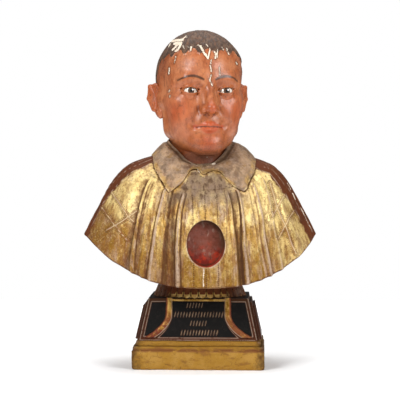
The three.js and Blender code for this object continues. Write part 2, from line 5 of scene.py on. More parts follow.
import bpy
import numpy as np
from bpy.props import FloatProperty, FloatVectorProperty, IntProperty, PointerProperty
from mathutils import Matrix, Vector


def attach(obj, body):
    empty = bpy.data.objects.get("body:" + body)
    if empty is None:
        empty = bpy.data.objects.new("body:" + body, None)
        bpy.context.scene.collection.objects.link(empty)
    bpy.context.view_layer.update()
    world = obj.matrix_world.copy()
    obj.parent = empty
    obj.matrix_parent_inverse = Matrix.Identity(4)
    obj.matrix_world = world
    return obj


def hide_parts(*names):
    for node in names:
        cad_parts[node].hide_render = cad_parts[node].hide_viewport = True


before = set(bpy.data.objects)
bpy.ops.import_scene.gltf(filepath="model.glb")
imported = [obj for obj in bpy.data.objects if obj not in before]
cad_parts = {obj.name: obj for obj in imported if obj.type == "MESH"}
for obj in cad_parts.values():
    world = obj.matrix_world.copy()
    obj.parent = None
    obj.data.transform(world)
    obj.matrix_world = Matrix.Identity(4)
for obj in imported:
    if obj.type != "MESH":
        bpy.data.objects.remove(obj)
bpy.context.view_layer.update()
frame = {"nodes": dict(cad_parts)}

bl_info = {
    "name": "Reliquary bust",
    "version": (1, 0, 0),
    "blender": (4, 5, 0),
    "location": "View3D > Sidebar > Reliquary bust",
    "description": "Builds a carved reliquary bust with its painted and gilded finishes",
    "category": "Object",
}

MM = 0.001


def linear(code):
    """An sRGB hex colour as linear red, green, blue"""
    shares = [int(code[i:i + 2], 16) / 255 for i in (1, 3, 5)]
    return [v / 12.92 if v <= 0.04045 else ((v + 0.055) / 1.055) ** 2.4 for v in shares]


def length(name, description, mm):
    """A size given in mm"""
    return FloatProperty(name=name, description=description, default=mm * MM, unit="LENGTH")


def turn(name, description, degrees):
    """An angle given in degrees"""
    return FloatProperty(name=name, description=description, default=math.radians(degrees), subtype="ANGLE")


def colour(name, description, code):
    """A colour given as an sRGB hex code"""
    return FloatVectorProperty(name=name, description=description, default=linear(code),
                               subtype="COLOR", size=3, min=0, max=1)


class BustSizes(bpy.types.PropertyGroup):
    cape_height: length("Cape height", "From the seat up to the neck", 234)
    head_height: length("Head height", "From chin to crown", 222)
    chin_height: length("Chin above seat", "From the seat up to the chin", 226)
    fold_depth: length("Fold depth", "How far the pleats of the cape stand out", 8)
    hem_thickness: length("Hem thickness", "Thickness of the cape at its hem", 7)
    orphrey_rise: length("Orphrey rise", "Relief of the band down the middle of the chest", 2)
    orphrey_width: length("Orphrey width", "Width of the band down the middle of the chest", 56)
    lattice_rise: length("Lattice rise", "Relief of the crossing lines on the shoulders", 0.9)
    collar_thickness: length("Collar thickness", "Thickness of the turn-down collar", 5)
    hair_rise: length("Hair rise", "How far the cropped hair stands off the skull", 2.6)
    recess_width: length("Recess width", "Width of the oval relic recess", 66)
    recess_height: length("Recess height", "Height of the oval relic recess", 80)
    recess_depth: length("Recess depth", "Depth of the relic recess", 22)
    recess_place: length("Recess above seat", "Middle of the recess above the seat", 73)
    eye_diameter: length("Eye diameter", "Diameter of each inset glass eye", 25)
    iris_radius: length("Iris radius", "Radius of the painted iris", 5.6)
    torso_turn: turn("Torso turn", "How far the bust is turned on its plinth", 7)
    head_turn: turn("Head turn", "How far the head is turned on the bust", 6)


class PlinthSizes(bpy.types.PropertyGroup):
    slab_width: length("Slab width", "Width of the bottom slab", 232)
    slab_depth: length("Slab depth", "Depth of the bottom slab", 176)
    slab_height: length("Slab height", "Height of the bottom slab", 34)
    slab_corner: length("Slab corner", "Radius of the slab's worn corners", 6)
    edge_wear: length("Edge wear", "Rounding of the worn edges", 2.5)
    lower_step: length("Lower step", "Height of the moulding's lower step", 7)
    upper_step: length("Upper step", "Height of the moulding's upper step", 9)
    lower_width: length("Lower step width", "Width of the moulding's lower step", 229)
    upper_width: length("Upper step width", "Width of the moulding's upper step", 219)
    block_height: length("Block height", "Height of the sloping block", 74)
    foot_width: length("Block foot width", "Width of the block at its foot", 208)
    top_width: length("Block top width", "Width of the block at its top", 176)
    panel_rise: length("Panel rise", "Relief of each plate on the block's sides", 4)
    panel_margin: length("Panel margin", "Margin round each plate", 8)
    band_width: length("Band width", "Width of the gilt scroll bands", 11)
    band_rise: length("Band rise", "Relief of the gilt scroll bands", 3)
    band_offset: length("Band offset", "Middle of each band from the centre line", 51.5)
    band_flare: length("Band flare", "How far each band swings out at its foot", 34)
    leaf_width: length("Leaf collar width", "Width of the leaf collar", 157)
    leaf_depth: length("Leaf collar depth", "Depth of the leaf collar", 118)
    leaf_height: length("Leaf collar height", "Height of the leaf collar", 26)
    leaf_count: IntProperty(name="Leaf count", description="Leaves round the collar", default=36)


class Finishes(bpy.types.PropertyGroup):
    flesh: colour("Flesh", "Oil paint of the face", "#a05830")
    flesh_light: colour("Light flesh", "Paler parts of the face", "#b6764f")
    flesh_dark: colour("Dark flesh", "Temples and hollows of the face", "#7b3c1c")
    flush: colour("Flush", "Cheeks, lips and ears", "#a8441f")
    hair: colour("Hair", "Cropped hair", "#553c29")
    hair_dark: colour("Dark hair", "Shadowed strands and brows", "#2f1c11")
    gesso: colour("Gesso", "Bare ground where paint is lost", "#d6c6b2")
    gold: colour("Gold", "Burnished gold leaf", "#c29a55")
    gold_light: colour("Light gold", "Brightest gold leaf", "#ecd493")
    gold_dark: colour("Dark gold", "Gold leaf under old brown varnish", "#86601f")
    slab: colour("Slab gold", "Duller gold leaf of the plinth", "#a1772f")
    worn: colour("Worn edge", "Rubbed edges of folds and collar", "#ab9482")
    bole: colour("Bole", "Red clay under worn leaf", "#6d4022")
    patina: colour("Patina", "Dirt and old varnish in the hollows", "#3c2411")
    dust: colour("Dust", "Grey bloom below the collar", "#776455")
    back: colour("Back", "Brown paint of the ungilded back", "#562b14")
    collar: colour("Collar", "Greyed silver leaf of the collar", "#a78a6c")
    recess: colour("Recess", "Red lining of the relic recess", "#7c2a20")
    recess_light: colour("Fresh red", "Unfaded red low in the relic recess", "#c43c1e")
    frame: colour("Frame brown", "Brown paint of the plinth's frames", "#371809")
    black: colour("Black", "Black paint of the plinth's panels", "#0b0908")
    floor: colour("Floor", "Studio floor", "#fbfbfb")


# Shared arithmetic

def smooth(low, high, v):
    """0 before low, 1 past high and a soft step between"""
    t = np.clip((v - low) / (high - low), 0, 1)
    return t * t * (3 - 2 * t)


def mix(a, b, t):
    """From a to b by the share t"""
    return a + (b - a) * t


def curve(points, t):
    """Smooth curve through points, its ends held, for each t from 0 to 1"""
    points = np.array(points, float)
    last = len(points) - 1
    s = np.clip(t, 0, 1) * last
    i = np.minimum(s.astype(int), last - 1)
    w = (s - i)[..., None]
    a, b = points[i], points[i + 1]
    before = (b - points[np.maximum(i - 1, 0)]) / 2
    after = (points[np.minimum(i + 2, last)] - a) / 2
    cubed = 2 * (a - b) + before + after
    squared = 3 * (b - a) - 2 * before - after
    return cubed * w ** 3 + squared * w ** 2 + before * w + a


def bell(v, width):
    """1 at nought, falling away on both sides"""
    return np.exp(-(v / width) ** 2)


# Large odd numbers that scatter a cell's place and a seed over all the numbers below 2 to the 32nd
PLACE_SCATTER = np.array([374761393, 668265263, 1442695041])
SEED_SCATTER = 974634777
LAST_SCATTER = 1274126177
LOW_BITS = 0xffffffff


def noise(points, size, seed):
    """Soft lumps from 0 to 1, about size mm across, the same on every run"""
    p = points / np.asarray(size, float)
    cell = np.floor(p).astype(np.int64)
    t = p - cell
    t = t * t * (3 - 2 * t)
    total = 0
    for corner in np.ndindex(2, 2, 2):
        h = ((cell + corner) @ PLACE_SCATTER + seed * SEED_SCATTER) & LOW_BITS
        h = ((h ^ (h >> 13)) * LAST_SCATTER) & LOW_BITS
        h = ((h ^ (h >> 16)) & 0xffff) / 65535
        total = total + h * np.prod(np.where(corner, t, 1 - t), axis=-1)
    return total


def line_place(u, v, line):
    """Distance in a plane from each point to a line of straight stretches, and how far along it lies"""
    gap = np.full(np.shape(u), 1e3)
    along = np.zeros(np.shape(u))
    gone = 0
    for (au, av), (bu, bv) in zip(line, line[1:]):
        du, dv = bu - au, bv - av
        reach = math.hypot(du, dv)
        t = np.clip(((u - au) * du + (v - av) * dv) / reach ** 2, 0, 1)
        here = np.hypot(u - au - t * du, v - av - t * dv)
        along = np.where(here < gap, gone + t * reach, along)
        gap = np.minimum(gap, here)
        gone += reach
    return gap, along


def line_gap(u, v, line):
    """Distance in a plane from each point to a line of straight stretches"""
    return line_place(u, v, line)[0]


def sizes_of(group):
    """The sizes of a group in mm and its angles in degrees"""
    found = {}
    for key in group.__annotations__:
        value = getattr(group, key)
        kind = group.bl_rna.properties[key]
        if kind.unit == "LENGTH":
            value = value / MM
        elif kind.subtype == "ANGLE":
            value = math.degrees(value)
        found[key] = value
    return found


# Making and joining meshes

# What each mark says at points that a piece sets nothing for
MARKS = {
    "made": 1, "loss": 60, "hair": 0, "lip": 0, "brow": 0, "flush": 0, "across": 200,
    "lattice": 60, "punch": 0, "valley": 0, "ridge": 0, "gilt": 30, "dust": 0, "up": 1,
    "black": -60, "frame": 60, "band": 0, "tip": 0, "step": 0,
}


def wrap(name, rings, finish, finishes, marks=None, closed=False):
    """A closed piece: Blender's grid laid over rings of points in mm, its seam and poles merged.
    closed also joins the last ring to the first."""
    values = {key: np.full(rings.shape[:2], value, float) for key, value in MARKS.items()}
    values.update(marks or {})
    around = lambda a: np.concatenate([a, a[:, :1]], axis=1)
    along = lambda a: np.concatenate([a, a[:1]], axis=0) if closed else a
    points = along(around(rings))
    bpy.ops.object.select_all(action="DESELECT")
    bpy.ops.mesh.primitive_grid_add(x_subdivisions=points.shape[1] - 1, y_subdivisions=points.shape[0] - 1)
    piece = bpy.context.active_object
    piece.name = piece.data.name = name
    piece.data.vertices.foreach_set("co", (points * MM).astype(np.float32).ravel())
    for key, value in values.items():
        layer = piece.data.attributes.new(key, "FLOAT", "POINT")
        layer.data.foreach_set("value", along(around(value)).astype(np.float32).ravel())
    for material in finishes:
        piece.data.materials.append(material)
    piece.data.polygons.foreach_set("material_index", np.full(len(piece.data.polygons), finish, np.int32))
    bpy.ops.object.mode_set(mode="EDIT")
    bpy.ops.mesh.select_all(action="SELECT")
    bpy.ops.mesh.remove_doubles(threshold=1e-7)
    bpy.ops.mesh.normals_make_consistent(inside=False)
    bpy.ops.object.mode_set(mode="OBJECT")
    return piece


def capped(rings):
    """Rings closed flat at both ends"""
    ends = [np.tile(ring.mean(0), (1, len(ring), 1)) for ring in (rings[0], rings[-1])]
    return np.concatenate([ends[0], rings, ends[1]])


def carve(piece, other, operation="UNION"):
    """Adds another closed piece to this one, or takes it away"""
    modifier = piece.modifiers.new("join", "BOOLEAN")
    modifier.object = other
    modifier.operation = operation
    modifier.solver = "MANIFOLD"
    bpy.ops.object.select_all(action="DESELECT")
    bpy.context.view_layer.objects.active = piece
    piece.select_set(True)
    bpy.ops.object.modifier_apply(modifier="join")
    bpy.data.objects.remove(other)


def read(piece, mark):
    """A mark's values at a piece's points"""
    values = np.zeros(len(piece.data.vertices), np.float32)
    piece.data.attributes[mark].data.foreach_get("value", values)
    return values


def write(piece, mark, values):
    """Sets a mark's values at a piece's points, and adds the mark where it is missing"""
    layer = piece.data.attributes.get(mark) or piece.data.attributes.new(mark, "FLOAT", "POINT")
    layer.data.foreach_set("value", values.astype(np.float32))


def vectors(points, key):
    """Three numbers for each point, in rows"""
    flat = np.zeros(len(points) * 3, np.float32)
    points.foreach_get(key, flat)
    return flat.reshape(-1, 3)


def settle_marks(piece):
    """Gives points that a join has made the marks of their neighbours, and marks hollows and crests"""
    mesh = piece.data
    count = len(mesh.vertices)
    ends = np.zeros(len(mesh.edges) * 2, np.int32)
    mesh.edges.foreach_get("vertices", ends)
    a, b = ends[0::2], ends[1::2]
    spread = lambda v: np.bincount(a, v[b], count) + np.bincount(b, v[a], count)
    made = read(piece, "made")
    values = {key: read(piece, key) for key in MARKS}
    while (made < 0.5).any():
        known = (made > 0.5).astype(float)
        near = spread(known)
        new = (known < 0.5) & (near > 0)
        if not new.any():
            break
        for key in MARKS:
            values[key][new] = (spread(values[key] * known) / np.maximum(near, 1))[new]
        made = np.where(new, 1, made)
        values["made"] = made
    for key in MARKS:
        write(piece, key, values[key])
    place = vectors(mesh.vertices, "co") / MM
    normal = vectors(mesh.vertex_normals, "vector")
    degree = np.maximum(spread(np.ones(count)), 1)
    span = np.linalg.norm(place[a] - place[b], axis=1) ** 2
    span = (np.bincount(a, span, count) + np.bincount(b, span, count)) / degree + 0.3
    pull = np.stack([spread(place[:, k]) / degree - place[:, k] for k in range(3)], 1)
    bend = (pull * normal).sum(1) * 4 / span
    for _ in range(3):
        bend = 0.5 * bend + 0.5 * spread(bend) / degree
    write(piece, "hollow", np.clip(bend, 0, 1))
    write(piece, "crest", np.clip(-bend, 0, 1))


def settle(piece, nodes, angle=45):
    """The last steps for each piece: shading, its body and the nodes it stands for"""
    bpy.ops.object.select_all(action="DESELECT")
    bpy.context.view_layer.objects.active = piece
    piece.select_set(True)
    bpy.ops.object.shade_smooth_by_angle(angle=math.radians(angle))
    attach(piece, "root")
    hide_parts(*nodes)


def turned(points, degrees):
    """Points turned about the upright axis"""
    c, s = math.cos(math.radians(degrees)), math.sin(math.radians(degrees))
    x, y, z = np.moveaxis(points, -1, 0)
    return np.stack([x * c - y * s, x * s + y * c, z], -1)


# The camera looks at the middle of the bust's height, from a little to the right and a little above
CAMERA_DISTANCE = 2400
MIDDLE_HEIGHT = 295
VIEW_TURN = math.radians(2.5)
VIEW_RISE = math.radians(1.5)


def front_place(points):
    """Where points stand in the front view, in mm at the depth of the axis"""
    x, y, z = np.moveaxis(points - [0, 0, MIDDLE_HEIGHT], -1, 0)
    ahead = y * math.cos(VIEW_TURN) - x * math.sin(VIEW_TURN)
    scale = CAMERA_DISTANCE / (CAMERA_DISTANCE + ahead * math.cos(VIEW_RISE) - z * math.sin(VIEW_RISE))
    across = x * math.cos(VIEW_TURN) + y * math.sin(VIEW_TURN)
    up = z * math.cos(VIEW_RISE) + ahead * math.sin(VIEW_RISE)
    return across * scale, MIDDLE_HEIGHT + up * scale


# Paint and gold losses, cracks and scratches in the front view: lines with half their width
LOSSES = [
    (2, [(-51.4, 581.5), (-41.5, 583.7), (-31.6, 584.1)]),
    (2.6, [(-46, 577.2), (-34.3, 578.3)]),
    (1.6, [(-39.7, 575.6), (-49.6, 565.7)]),
    (1.9, [(-34.3, 576.5), (-39.7, 566.6), (-44.2, 563.9)]),
    (0.9, [(-30.7, 573.8), (-28.5, 567.8)]),
    (0.9, [(-31.6, 584.6), (-25.3, 591.3)]),
    (0.8, [(-53.2, 577.4), (-56.8, 571.1)]),
    (0.8, [(-25.3, 590.9), (-21.7, 588.2)]),
    (1.6, [(-15.7, 571.4), (-17, 564.6)]),
    (0.8, [(-23.5, 573.8), (-20.8, 570.2)]),
    (1, [(-3.6, 574.7), (1.1, 572.3)]),
    (1.8, [(1.1, 572.3), (6.9, 561.1), (14.4, 551.2)]),
    (1.3, [(18, 566.7), (15.9, 556.6), (14.4, 551.2)]),
    (1.3, [(26, 563.3), (28.9, 556.6), (27.1, 549.8)]),
    (1, [(31.6, 565.7), (30.7, 552.1)]),
    (0.8, [(10.8, 576.5), (18, 567.5)]),
    (0.7, [(39.7, 571.1), (42.4, 565.7)]),
    (1, [(48.5, 567.8), (52, 557.5)]),
    (0.9, [(65.3, 543.6), (66.8, 540)]),
    (0.9, [(20.4, 547.6), (19.1, 540.8)]),
    (1.1, [(18.8, 537.7), (20.4, 527.2)]),
    (0.9, [(20.4, 521.5), (18, 511.5), (22.2, 501.6)]),
    (0.6, [(35, 534.1), (36.1, 520.5)]),
    (0.9, [(-55.2, 534.1), (-56.3, 522.4)]),
    (0.7, [(-55.2, 493.5), (-56.3, 489.9)]),
    (0.7, [(-54.1, 483.6), (-54.9, 480.9)]),
    (0.6, [(-43.3, 554.8), (-46, 542.2)]),
    (0.9, [(166.5, 307.6), (172, 295.9)]),
    (0.6, [(181.9, 280.6), (191.3, 260.7), (202.6, 237.3)]),
    (0.5, [(157, 325.7), (164.2, 313)]),
    (1, [(-113.7, 369.9), (-98.3, 377.1)]),
    (1.4, [(22.6, 360), (27.1, 360.7)]),
    (0.8, [(-5.4, 351.8), (-0.9, 344.6)]),
    (0.8, [(6.9, 171.4), (6.1, 152.5), (6.5, 138)]),
]

# Crossing lines on the shoulders, in the front view
LATTICE = [
    [(-158.8, 309.4), (-129.9, 266.1), (-119.1, 255.3)],
    [(-178.6, 284.2), (-155.2, 251.7), (-129.9, 221)],
    [(-113.7, 275.2), (-142.5, 255.3), (-167.8, 240.9)],
    [(160.6, 320.3), (151.6, 304), (129.9, 264.3)],
    [(171.4, 278.8), (160.6, 262.5), (140.7, 224.6)],
    [(126.3, 325.7), (140.7, 277), (153.4, 249.9), (164.2, 219.2), (173.2, 197.6)],
]


def loss_gap(points):
    """Signed distance in mm to the nearest loss on the front, below 0 inside one"""
    u, v = front_place(points)
    gap = np.full(u.shape, 60.0)
    for half, line in LOSSES:
        gap = np.minimum(gap, line_gap(u, v, line) - half)
    return np.where(points[..., 1] < 25, gap, 60)


# Cape: three profiles from the hem up to the neck, reach from the axis and height above the seat

SEAT = 150.0
SIDE = [(208, 85), (178, 143), (154, 184), (127, 210), (86, 225), (46, 234)]
FRONT = [(135, -3), (128, 62), (118, 108), (99, 156), (74, 192), (40, 212)]
BACK = [(106, 18), (112, 78), (107, 122), (96, 168), (72, 208), (40, 234)]
# The height that the profiles are drawn at, how square the cape is seen from above, how late it rises
# towards its sides, the height share where the folds end, and the reach that keeps the orphrey even
CAPE_PARTS = 234
ROUNDNESS = 2.2
HEM_RISE = 2.4
YOKE_EDGE = 0.65
BAND_REACH = 180

# Where the gilding stops on each side, as height shares and angles round from the front, and how far
# beyond it the border's raised lines run
BROWN_FROM = {
    -1: ([0.05, 0.2, 0.32, 0.38, 0.54, 0.67], [76, 77, 72.5, 70.5, 66, 60.5]),
    1: ([0.05, 0.17, 0.32, 0.4, 0.57, 0.65], [66.5, 65, 63, 61, 61, 56]),
}
BORDER_RIDGES = (1, 9, 17)

# Fold lines on each side, from the orphrey's edge outwards: how far the cloth stands out from 0 in a
# valley to 1 on a crest, how worn its edge is, how brown it is (bole and dirt, with painted shade in
# the valleys), and its angle round from the front at the hem and at three heights above
LINE_HEIGHTS = [0, 0.2, 0.4, 0.6]
FOLD_LINES = {
    -1: [
        (0.1, 0, 0.8, (10.6, 10.4, 9.1, 7.6)), (0.7, 0.9, 0.1, (13.4, 14.0, 13.2, 11.2)),
        (0.15, 0, 0.9, (15.0, 16.0, 16.5, 17.6)), (0.45, 0.1, 0.8, (17.4, 18.4, 19.5, 20.0)),
        (0, 0, 1, (20.6, 21.3, 21.9, 23.0)), (0.65, 0, 0, (22.6, 23.8, 25.2, 25.8)),
        (1, 1, 0.2, (25.5, 27.0, 28.1, 28.6)), (0.35, 0, 0.75, (27.8, 30.6, 33.0, 34.8)),
        (0.7, 0.15, 0.1, (29.5, 33.3, 35.8, 37.6)), (0.1, 0, 0.9, (31.6, 37.2, 39.9, 41.3)),
        (0.6, 0.4, 0.15, (34.8, 39.9, 43.0, 45.0)), (0, 0, 0.9, (37.8, 41.6, 44.9, 47.8)),
        (0.5, 0, 0.1, (48, 51, 53, 56)), (0.3, 0, 0.1, (66, 66, 66, 66)),
    ],
    1: [
        (0.1, 0, 0.7, (8.9, 9.5, 9.8, 10.9)), (0.75, 0.6, 0.1, (14.4, 14.3, 13.2, 13.2)),
        (0, 0, 0.9, (16.4, 16.7, 16.1, 15.8)), (1, 0.9, 0.3, (19.0, 19.4, 21.6, 23.4)),
        (0.3, 0, 0.4, (21.7, 22.4, 25.4, 28.0)), (0.75, 0.5, 0.15, (25.2, 27.0, 29.3, 32.2)),
        (0.2, 0, 0.55, (28.2, 29.7, 32.2, 35.6)), (1, 0.9, 0.35, (30.6, 32.0, 35.6, 38.8)),
        (0.15, 0, 0.55, (33.2, 35.5, 40.0, 45.0)), (0.65, 0.7, 0.2, (37.8, 40.0, 44.9, 51.0)),
        (0.1, 0, 0.3, (42, 44, 50, 56)), (0.5, 0, 0.05, (52, 53, 56, 60)), (0.3, 0, 0.1, (66, 66, 66, 66)),
    ],
}
for lines in FOLD_LINES.values():
    lines += [(0.1 + 0.6 * (k % 2), 0.3 * (k % 2), 0.5, (74 + 8.2 * k,) * 4) for k in range(14)]

# How sharply a valley turns up to its crest, and in degrees round the cape the half width of a crest's
# worn edge, the place, half width and strength of the painted shadow line under it, and the pleats of the
# yoke
EASE = 1.8
EDGE_WIDTH = 0.95
UNDER_PLACE, UNDER_WIDTH, UNDER_SHADOW = 1.6, 0.5, 1.4
YOKE_PLEAT = 4.3


def folds(angle, up, depth, band):
    """How far the cloth stands out, how brown it is, with painted shade in its valleys and a painted shadow
    line under each crest, and how near a fold's worn edge
    """
    tall, worn_edge, brown = (np.zeros(np.shape(angle)) for _ in range(3))
    waver = (noise(np.stack([angle * 0.05, up * 3, 0 * up], -1), 1, 5) - 0.5) * 0.8
    away = np.abs(angle) + waver * smooth(9, 14, np.abs(angle))
    for side, lines in FOLD_LINES.items():
        places = [np.interp(up, LINE_HEIGHTS, line[3]) for line in lines] + [np.full(np.shape(up), 190.0)]
        for low, high, a, b in zip(lines, lines[1:] + lines[-1:], places, places[1:]):
            here = (np.sign(angle) == side) & (away >= a) & (away < b)
            share = np.clip((away - a) / (b - a), 0, 1)
            ease = share ** EASE if high[0] > low[0] else 1 - (1 - share) ** EASE
            tall = np.where(here, mix(low[0], high[0], 0.5 - 0.5 * np.cos(np.pi * ease)), tall)
            # A painted shadow line runs under each crest on its browner side, marked past 1
            under = np.maximum(low[1] * high[2] ** 2 * bell(away - a - UNDER_PLACE, UNDER_WIDTH),
                               high[1] * low[2] ** 2 * bell(away - b + UNDER_PLACE, UNDER_WIDTH))
            brown = np.where(here, mix(low[2], high[2], share) + UNDER_SHADOW * under, brown)
            near = low[1] * bell(away - a, EDGE_WIDTH) + high[1] * bell(away - b, EDGE_WIDTH)
            worn_edge = np.where(here, near, worn_edge)
    gathered = smooth(YOKE_EDGE, YOKE_EDGE - 0.07, up)
    left, right = [np.interp(up, LINE_HEIGHTS, FOLD_LINES[side][0][3]) for side in (-1, 1)]
    flat = away < np.where(angle < 0, left, right)
    sideways = mix(1, 0.35, smooth(48, 66, np.abs(angle)))
    rise = gathered * np.where(flat, band, sideways * depth * tall)
    yoke = smooth(YOKE_EDGE - 0.004, YOKE_EDGE + 0.004, up) * smooth(60, 45, np.abs(angle))
    shift = 3 * (noise(np.stack([angle * 0.2, up * 9, 0 * up], -1), 1, 6) - 0.5)
    pleat = np.abs(((angle + shift) / YOKE_PLEAT) % 1 - 0.5) * 2
    rise = rise + yoke * (1.2 + 0.9 * pleat)
    # The yoke's pleats are browner in their valleys: dirt and painted shade
    brown = np.maximum(brown * gathered * ~flat, yoke * 0.75 * smooth(0.45, 0.1, pleat))
    return rise, brown, worn_edge * gathered * ~flat


def cape_points(angle, up, s, extra=0):
    """Points of the cape at angles in degrees round from the front and height shares"""
    angle, up = np.broadcast_arrays(np.asarray(angle, float), np.asarray(up, float))
    away = np.radians(np.abs(angle))
    side = curve(SIDE, up)
    fore = np.where((np.abs(angle) < 90)[..., None], curve(FRONT, up), curve(BACK, up))
    share = np.abs(np.sin(away)) ** (2 / ROUNDNESS)
    # Near the middle of the front an angle spans the same width at every height, so the orphrey is even
    straight = np.where(np.cos(away) >= 0, 1 - smooth(0.15, 0.5, share), 0)
    across = share * mix(1, np.minimum(BAND_REACH / side[..., 0], 1.25), straight)
    along = np.clip(1 - across ** ROUNDNESS, 0, None) ** (1 / ROUNDNESS)
    x = np.sign(angle) * side[..., 0] * across
    y = np.where(np.cos(away) >= 0, -1, 1) * fore[..., 0] * along
    z = fore[..., 1] + (side[..., 1] - fore[..., 1]) * across ** HEM_RISE
    out = np.stack([x / side[..., 0] ** 2, y / fore[..., 0] ** 2], -1)
    out /= np.linalg.norm(out, axis=-1, keepdims=True) + 1e-12
    rise, valley, ridge = folds(angle, up, s["fold_depth"], s["orphrey_rise"])
    reach = rise + extra
    size = s["cape_height"] / CAPE_PARTS
    points = np.stack([size * x + out[..., 0] * reach, size * y + out[..., 1] * reach, SEAT + size * z], -1)
    return points, valley, ridge


# How many degrees round from the front the close columns reach, half the width and depth of the seat
# under the cape, and the half width and height of the border's raised lines
FRONT_SPAN = 62
SEAT_HALF = (76, 56.5)
BORDER_WIDTH, BORDER_RISE = 0.8, 1.1


def cape_rings(angle, s):
    """Rings out from the middle of the seat, round the hem and up to the neck, the first one that shows,
    and each point's height share, brown and worn edge"""
    hem = s["hem_thickness"]
    middle = np.tile([0, 0, SEAT], (len(angle), 1))
    seat = np.stack([np.sin(np.radians(angle)) * SEAT_HALF[0], -np.cos(np.radians(angle)) * SEAT_HALF[1],
                     np.full(len(angle), SEAT)], -1)
    under, _, _ = cape_points(angle, 0 * angle, s, -2.5 * hem)
    under[:, 2] = np.maximum(under[:, 2] + 6, SEAT + 5)
    rings = [middle, seat, mix(seat, under, 0.5), mix(seat, under, 1)]
    for inward, up, drop in ((hem, 0, 0), (hem * 0.5, 0, 0.6), (1.6, 0, 0.3), (0.5, 0.003, 0)):
        rings.append(cape_points(angle, np.full(len(angle), up), s, -inward)[0] - [0, 0, drop])
    start = len(rings)
    levels = np.concatenate([np.linspace(0.008, 0.66, 84), np.linspace(0.66, 1, 22)[1:]])[:, None]
    body, valley, ridge = cape_points(angle[None, :], levels, s)
    rings = np.concatenate([np.stack(rings), body, np.tile(body[-1].mean(0), (1, len(angle), 1))])
    marks = [np.concatenate([np.tile(mark[:1], (start, 1)), mark, mark[-1:]])
             for mark in (np.broadcast_to(levels, body.shape[:2]), valley, ridge)]
    return rings, start, *marks


def lattice_place(world, away):
    """Distance from each point to the nearest crossing line, and how far along it lies"""
    u, v = front_place(world)
    nearest = np.full(u.shape, 60.0)
    punch = np.zeros(u.shape)
    for line in LATTICE:
        gap, along = line_place(u, v, line)
        punch = np.where(gap < nearest, along, punch)
        nearest = np.minimum(nearest, gap)
    return np.where((world[..., 1] < 10) & (away > 36), nearest, 60), punch


def cape_piece(s, finishes):
    """The pleated cape, with the marks that its gilding needs"""
    half = np.concatenate([FRONT_SPAN * np.linspace(0, 1, 160), np.linspace(FRONT_SPAN, 180, 62)[1:]])
    angle = np.concatenate([-half[:0:-1], half[:-1]])
    angle = np.where(np.abs(angle) < 1e-9, 1e-6, angle)
    rings, start, up, valley, ridge = cape_rings(angle, s)
    away = np.broadcast_to(np.abs(angle), up.shape)
    world = turned(rings, s["torso_turn"])
    lattice, punch = lattice_place(world, away)
    outer = np.zeros(up.shape)
    outer[start:-1] = 1
    out = rings * [1, 1, 0]
    out = out / (np.linalg.norm(out, axis=-1, keepdims=True) + 1e-9)
    lift = s["lattice_rise"] * smooth(2.2, 0.5, lattice)
    tool = (noise(rings, 14, 3) - 0.5) * 1.1 + (noise(rings, (5, 5, 16), 4) - 0.5) * 0.7
    rings = rings + out * (outer * (lift + tool))[..., None]
    wander = (noise(rings, 26, 8) - 0.5) * 5
    left, right = [np.interp(up, *BROWN_FROM[side]) for side in (-1, 1)]
    limit = np.where(angle < 0, left, right)
    for place in BORDER_RIDGES:
        off = bell(away - limit - place, BORDER_WIDTH) * outer * smooth(0.02, 0.1, up)
        ridge = np.maximum(ridge, 0.8 * off)
        rings = rings + out * (BORDER_RISE * off)[..., None]
    # The recess's rim is worn and lighter, most on its lower half, where the lighter rim is also a painted
    # highlight
    above = rings[..., 2] - SEAT - s["recess_place"]
    oval = np.hypot(rings[..., 0] / (s["recess_width"] / 2), above / (s["recess_height"] / 2))
    rim = smooth(1.12, 1.02, oval) * outer * (rings[..., 1] < 0) * mix(0.45, 0.9, smooth(12, -12, above))
    # A painted shadow lies along the collar's edge, the cape is browner along the hem, and grey dust lies
    # below the collar
    shade = np.where(world[..., 1] < 20, line_gap(*front_place(world), collar_border(s)), 60)
    yoke_dust = smooth(YOKE_EDGE - 0.05, YOKE_EDGE + 0.01, up) * smooth(62, 40, away)
    below_dust = 0.85 * smooth(0.38, 0.62, up) * smooth(52, 20, away)
    marks = {
        "loss": loss_gap(world),
        "across": rings[..., 0] * outer + 200 * (1 - outer),
        "lattice": lattice,
        "punch": punch,
        "up": up,
        "valley": np.maximum(valley, np.maximum(smooth(5, 0.5, shade), outer * smooth(0.022, 0.008, up))),
        "ridge": np.maximum(ridge, rim),
        "gilt": np.where(outer > 0, limit - away + wander * 0.5, -20),
        "dust": np.maximum(yoke_dust, below_dust) * smooth(2, 14, shade) ** 0.3,
    }
    return wrap("cape", turned(rings, s["torso_turn"]), 1, finishes, marks)


# Collar: stops of rim angle, edge angle and edge height share, on each wing in to its tip and round
COLLAR_INNER = {
    -1: [(0, 0, 0.8), (6, 4.5, 0.87), (14, 11.5, 0.835), (20, 13.5, 0.76), (26, 16.2, 0.68),
         (34, 24.5, 0.585)],
    1: [(0, 0, 0.8), (7, 7.5, 0.85), (15, 15.5, 0.81), (21, 18.2, 0.73), (28, 21.5, 0.65),
        (36, 28.5, 0.575)],
}
COLLAR_OUTER = {
    -1: [(34, 24.5, 0.585), (48, 34, 0.64), (62, 47, 0.71), (82, 74, 0.8), (110, 112, 0.81), (145, 146, 0.78),
         (180, 180, 0.74)],
    1: [(36, 28.5, 0.575), (52, 40, 0.64), (68, 56, 0.7), (86, 82, 0.76), (115, 118, 0.79), (150, 150, 0.77),
        (180, 180, 0.74)],
}
# The rim round the neck: half its width and depth, how far back its middle stands, how far below the
# chin its front lies, how far and how late it rises to its sides, and how far from there to the nape
RIM_HALF = (55, 58)
RIM_BACK = 5
RIM_BELOW_CHIN = 24
RIM_RISE = 48
RIM_SWEEP = 1.8
NAPE_RISE = 8


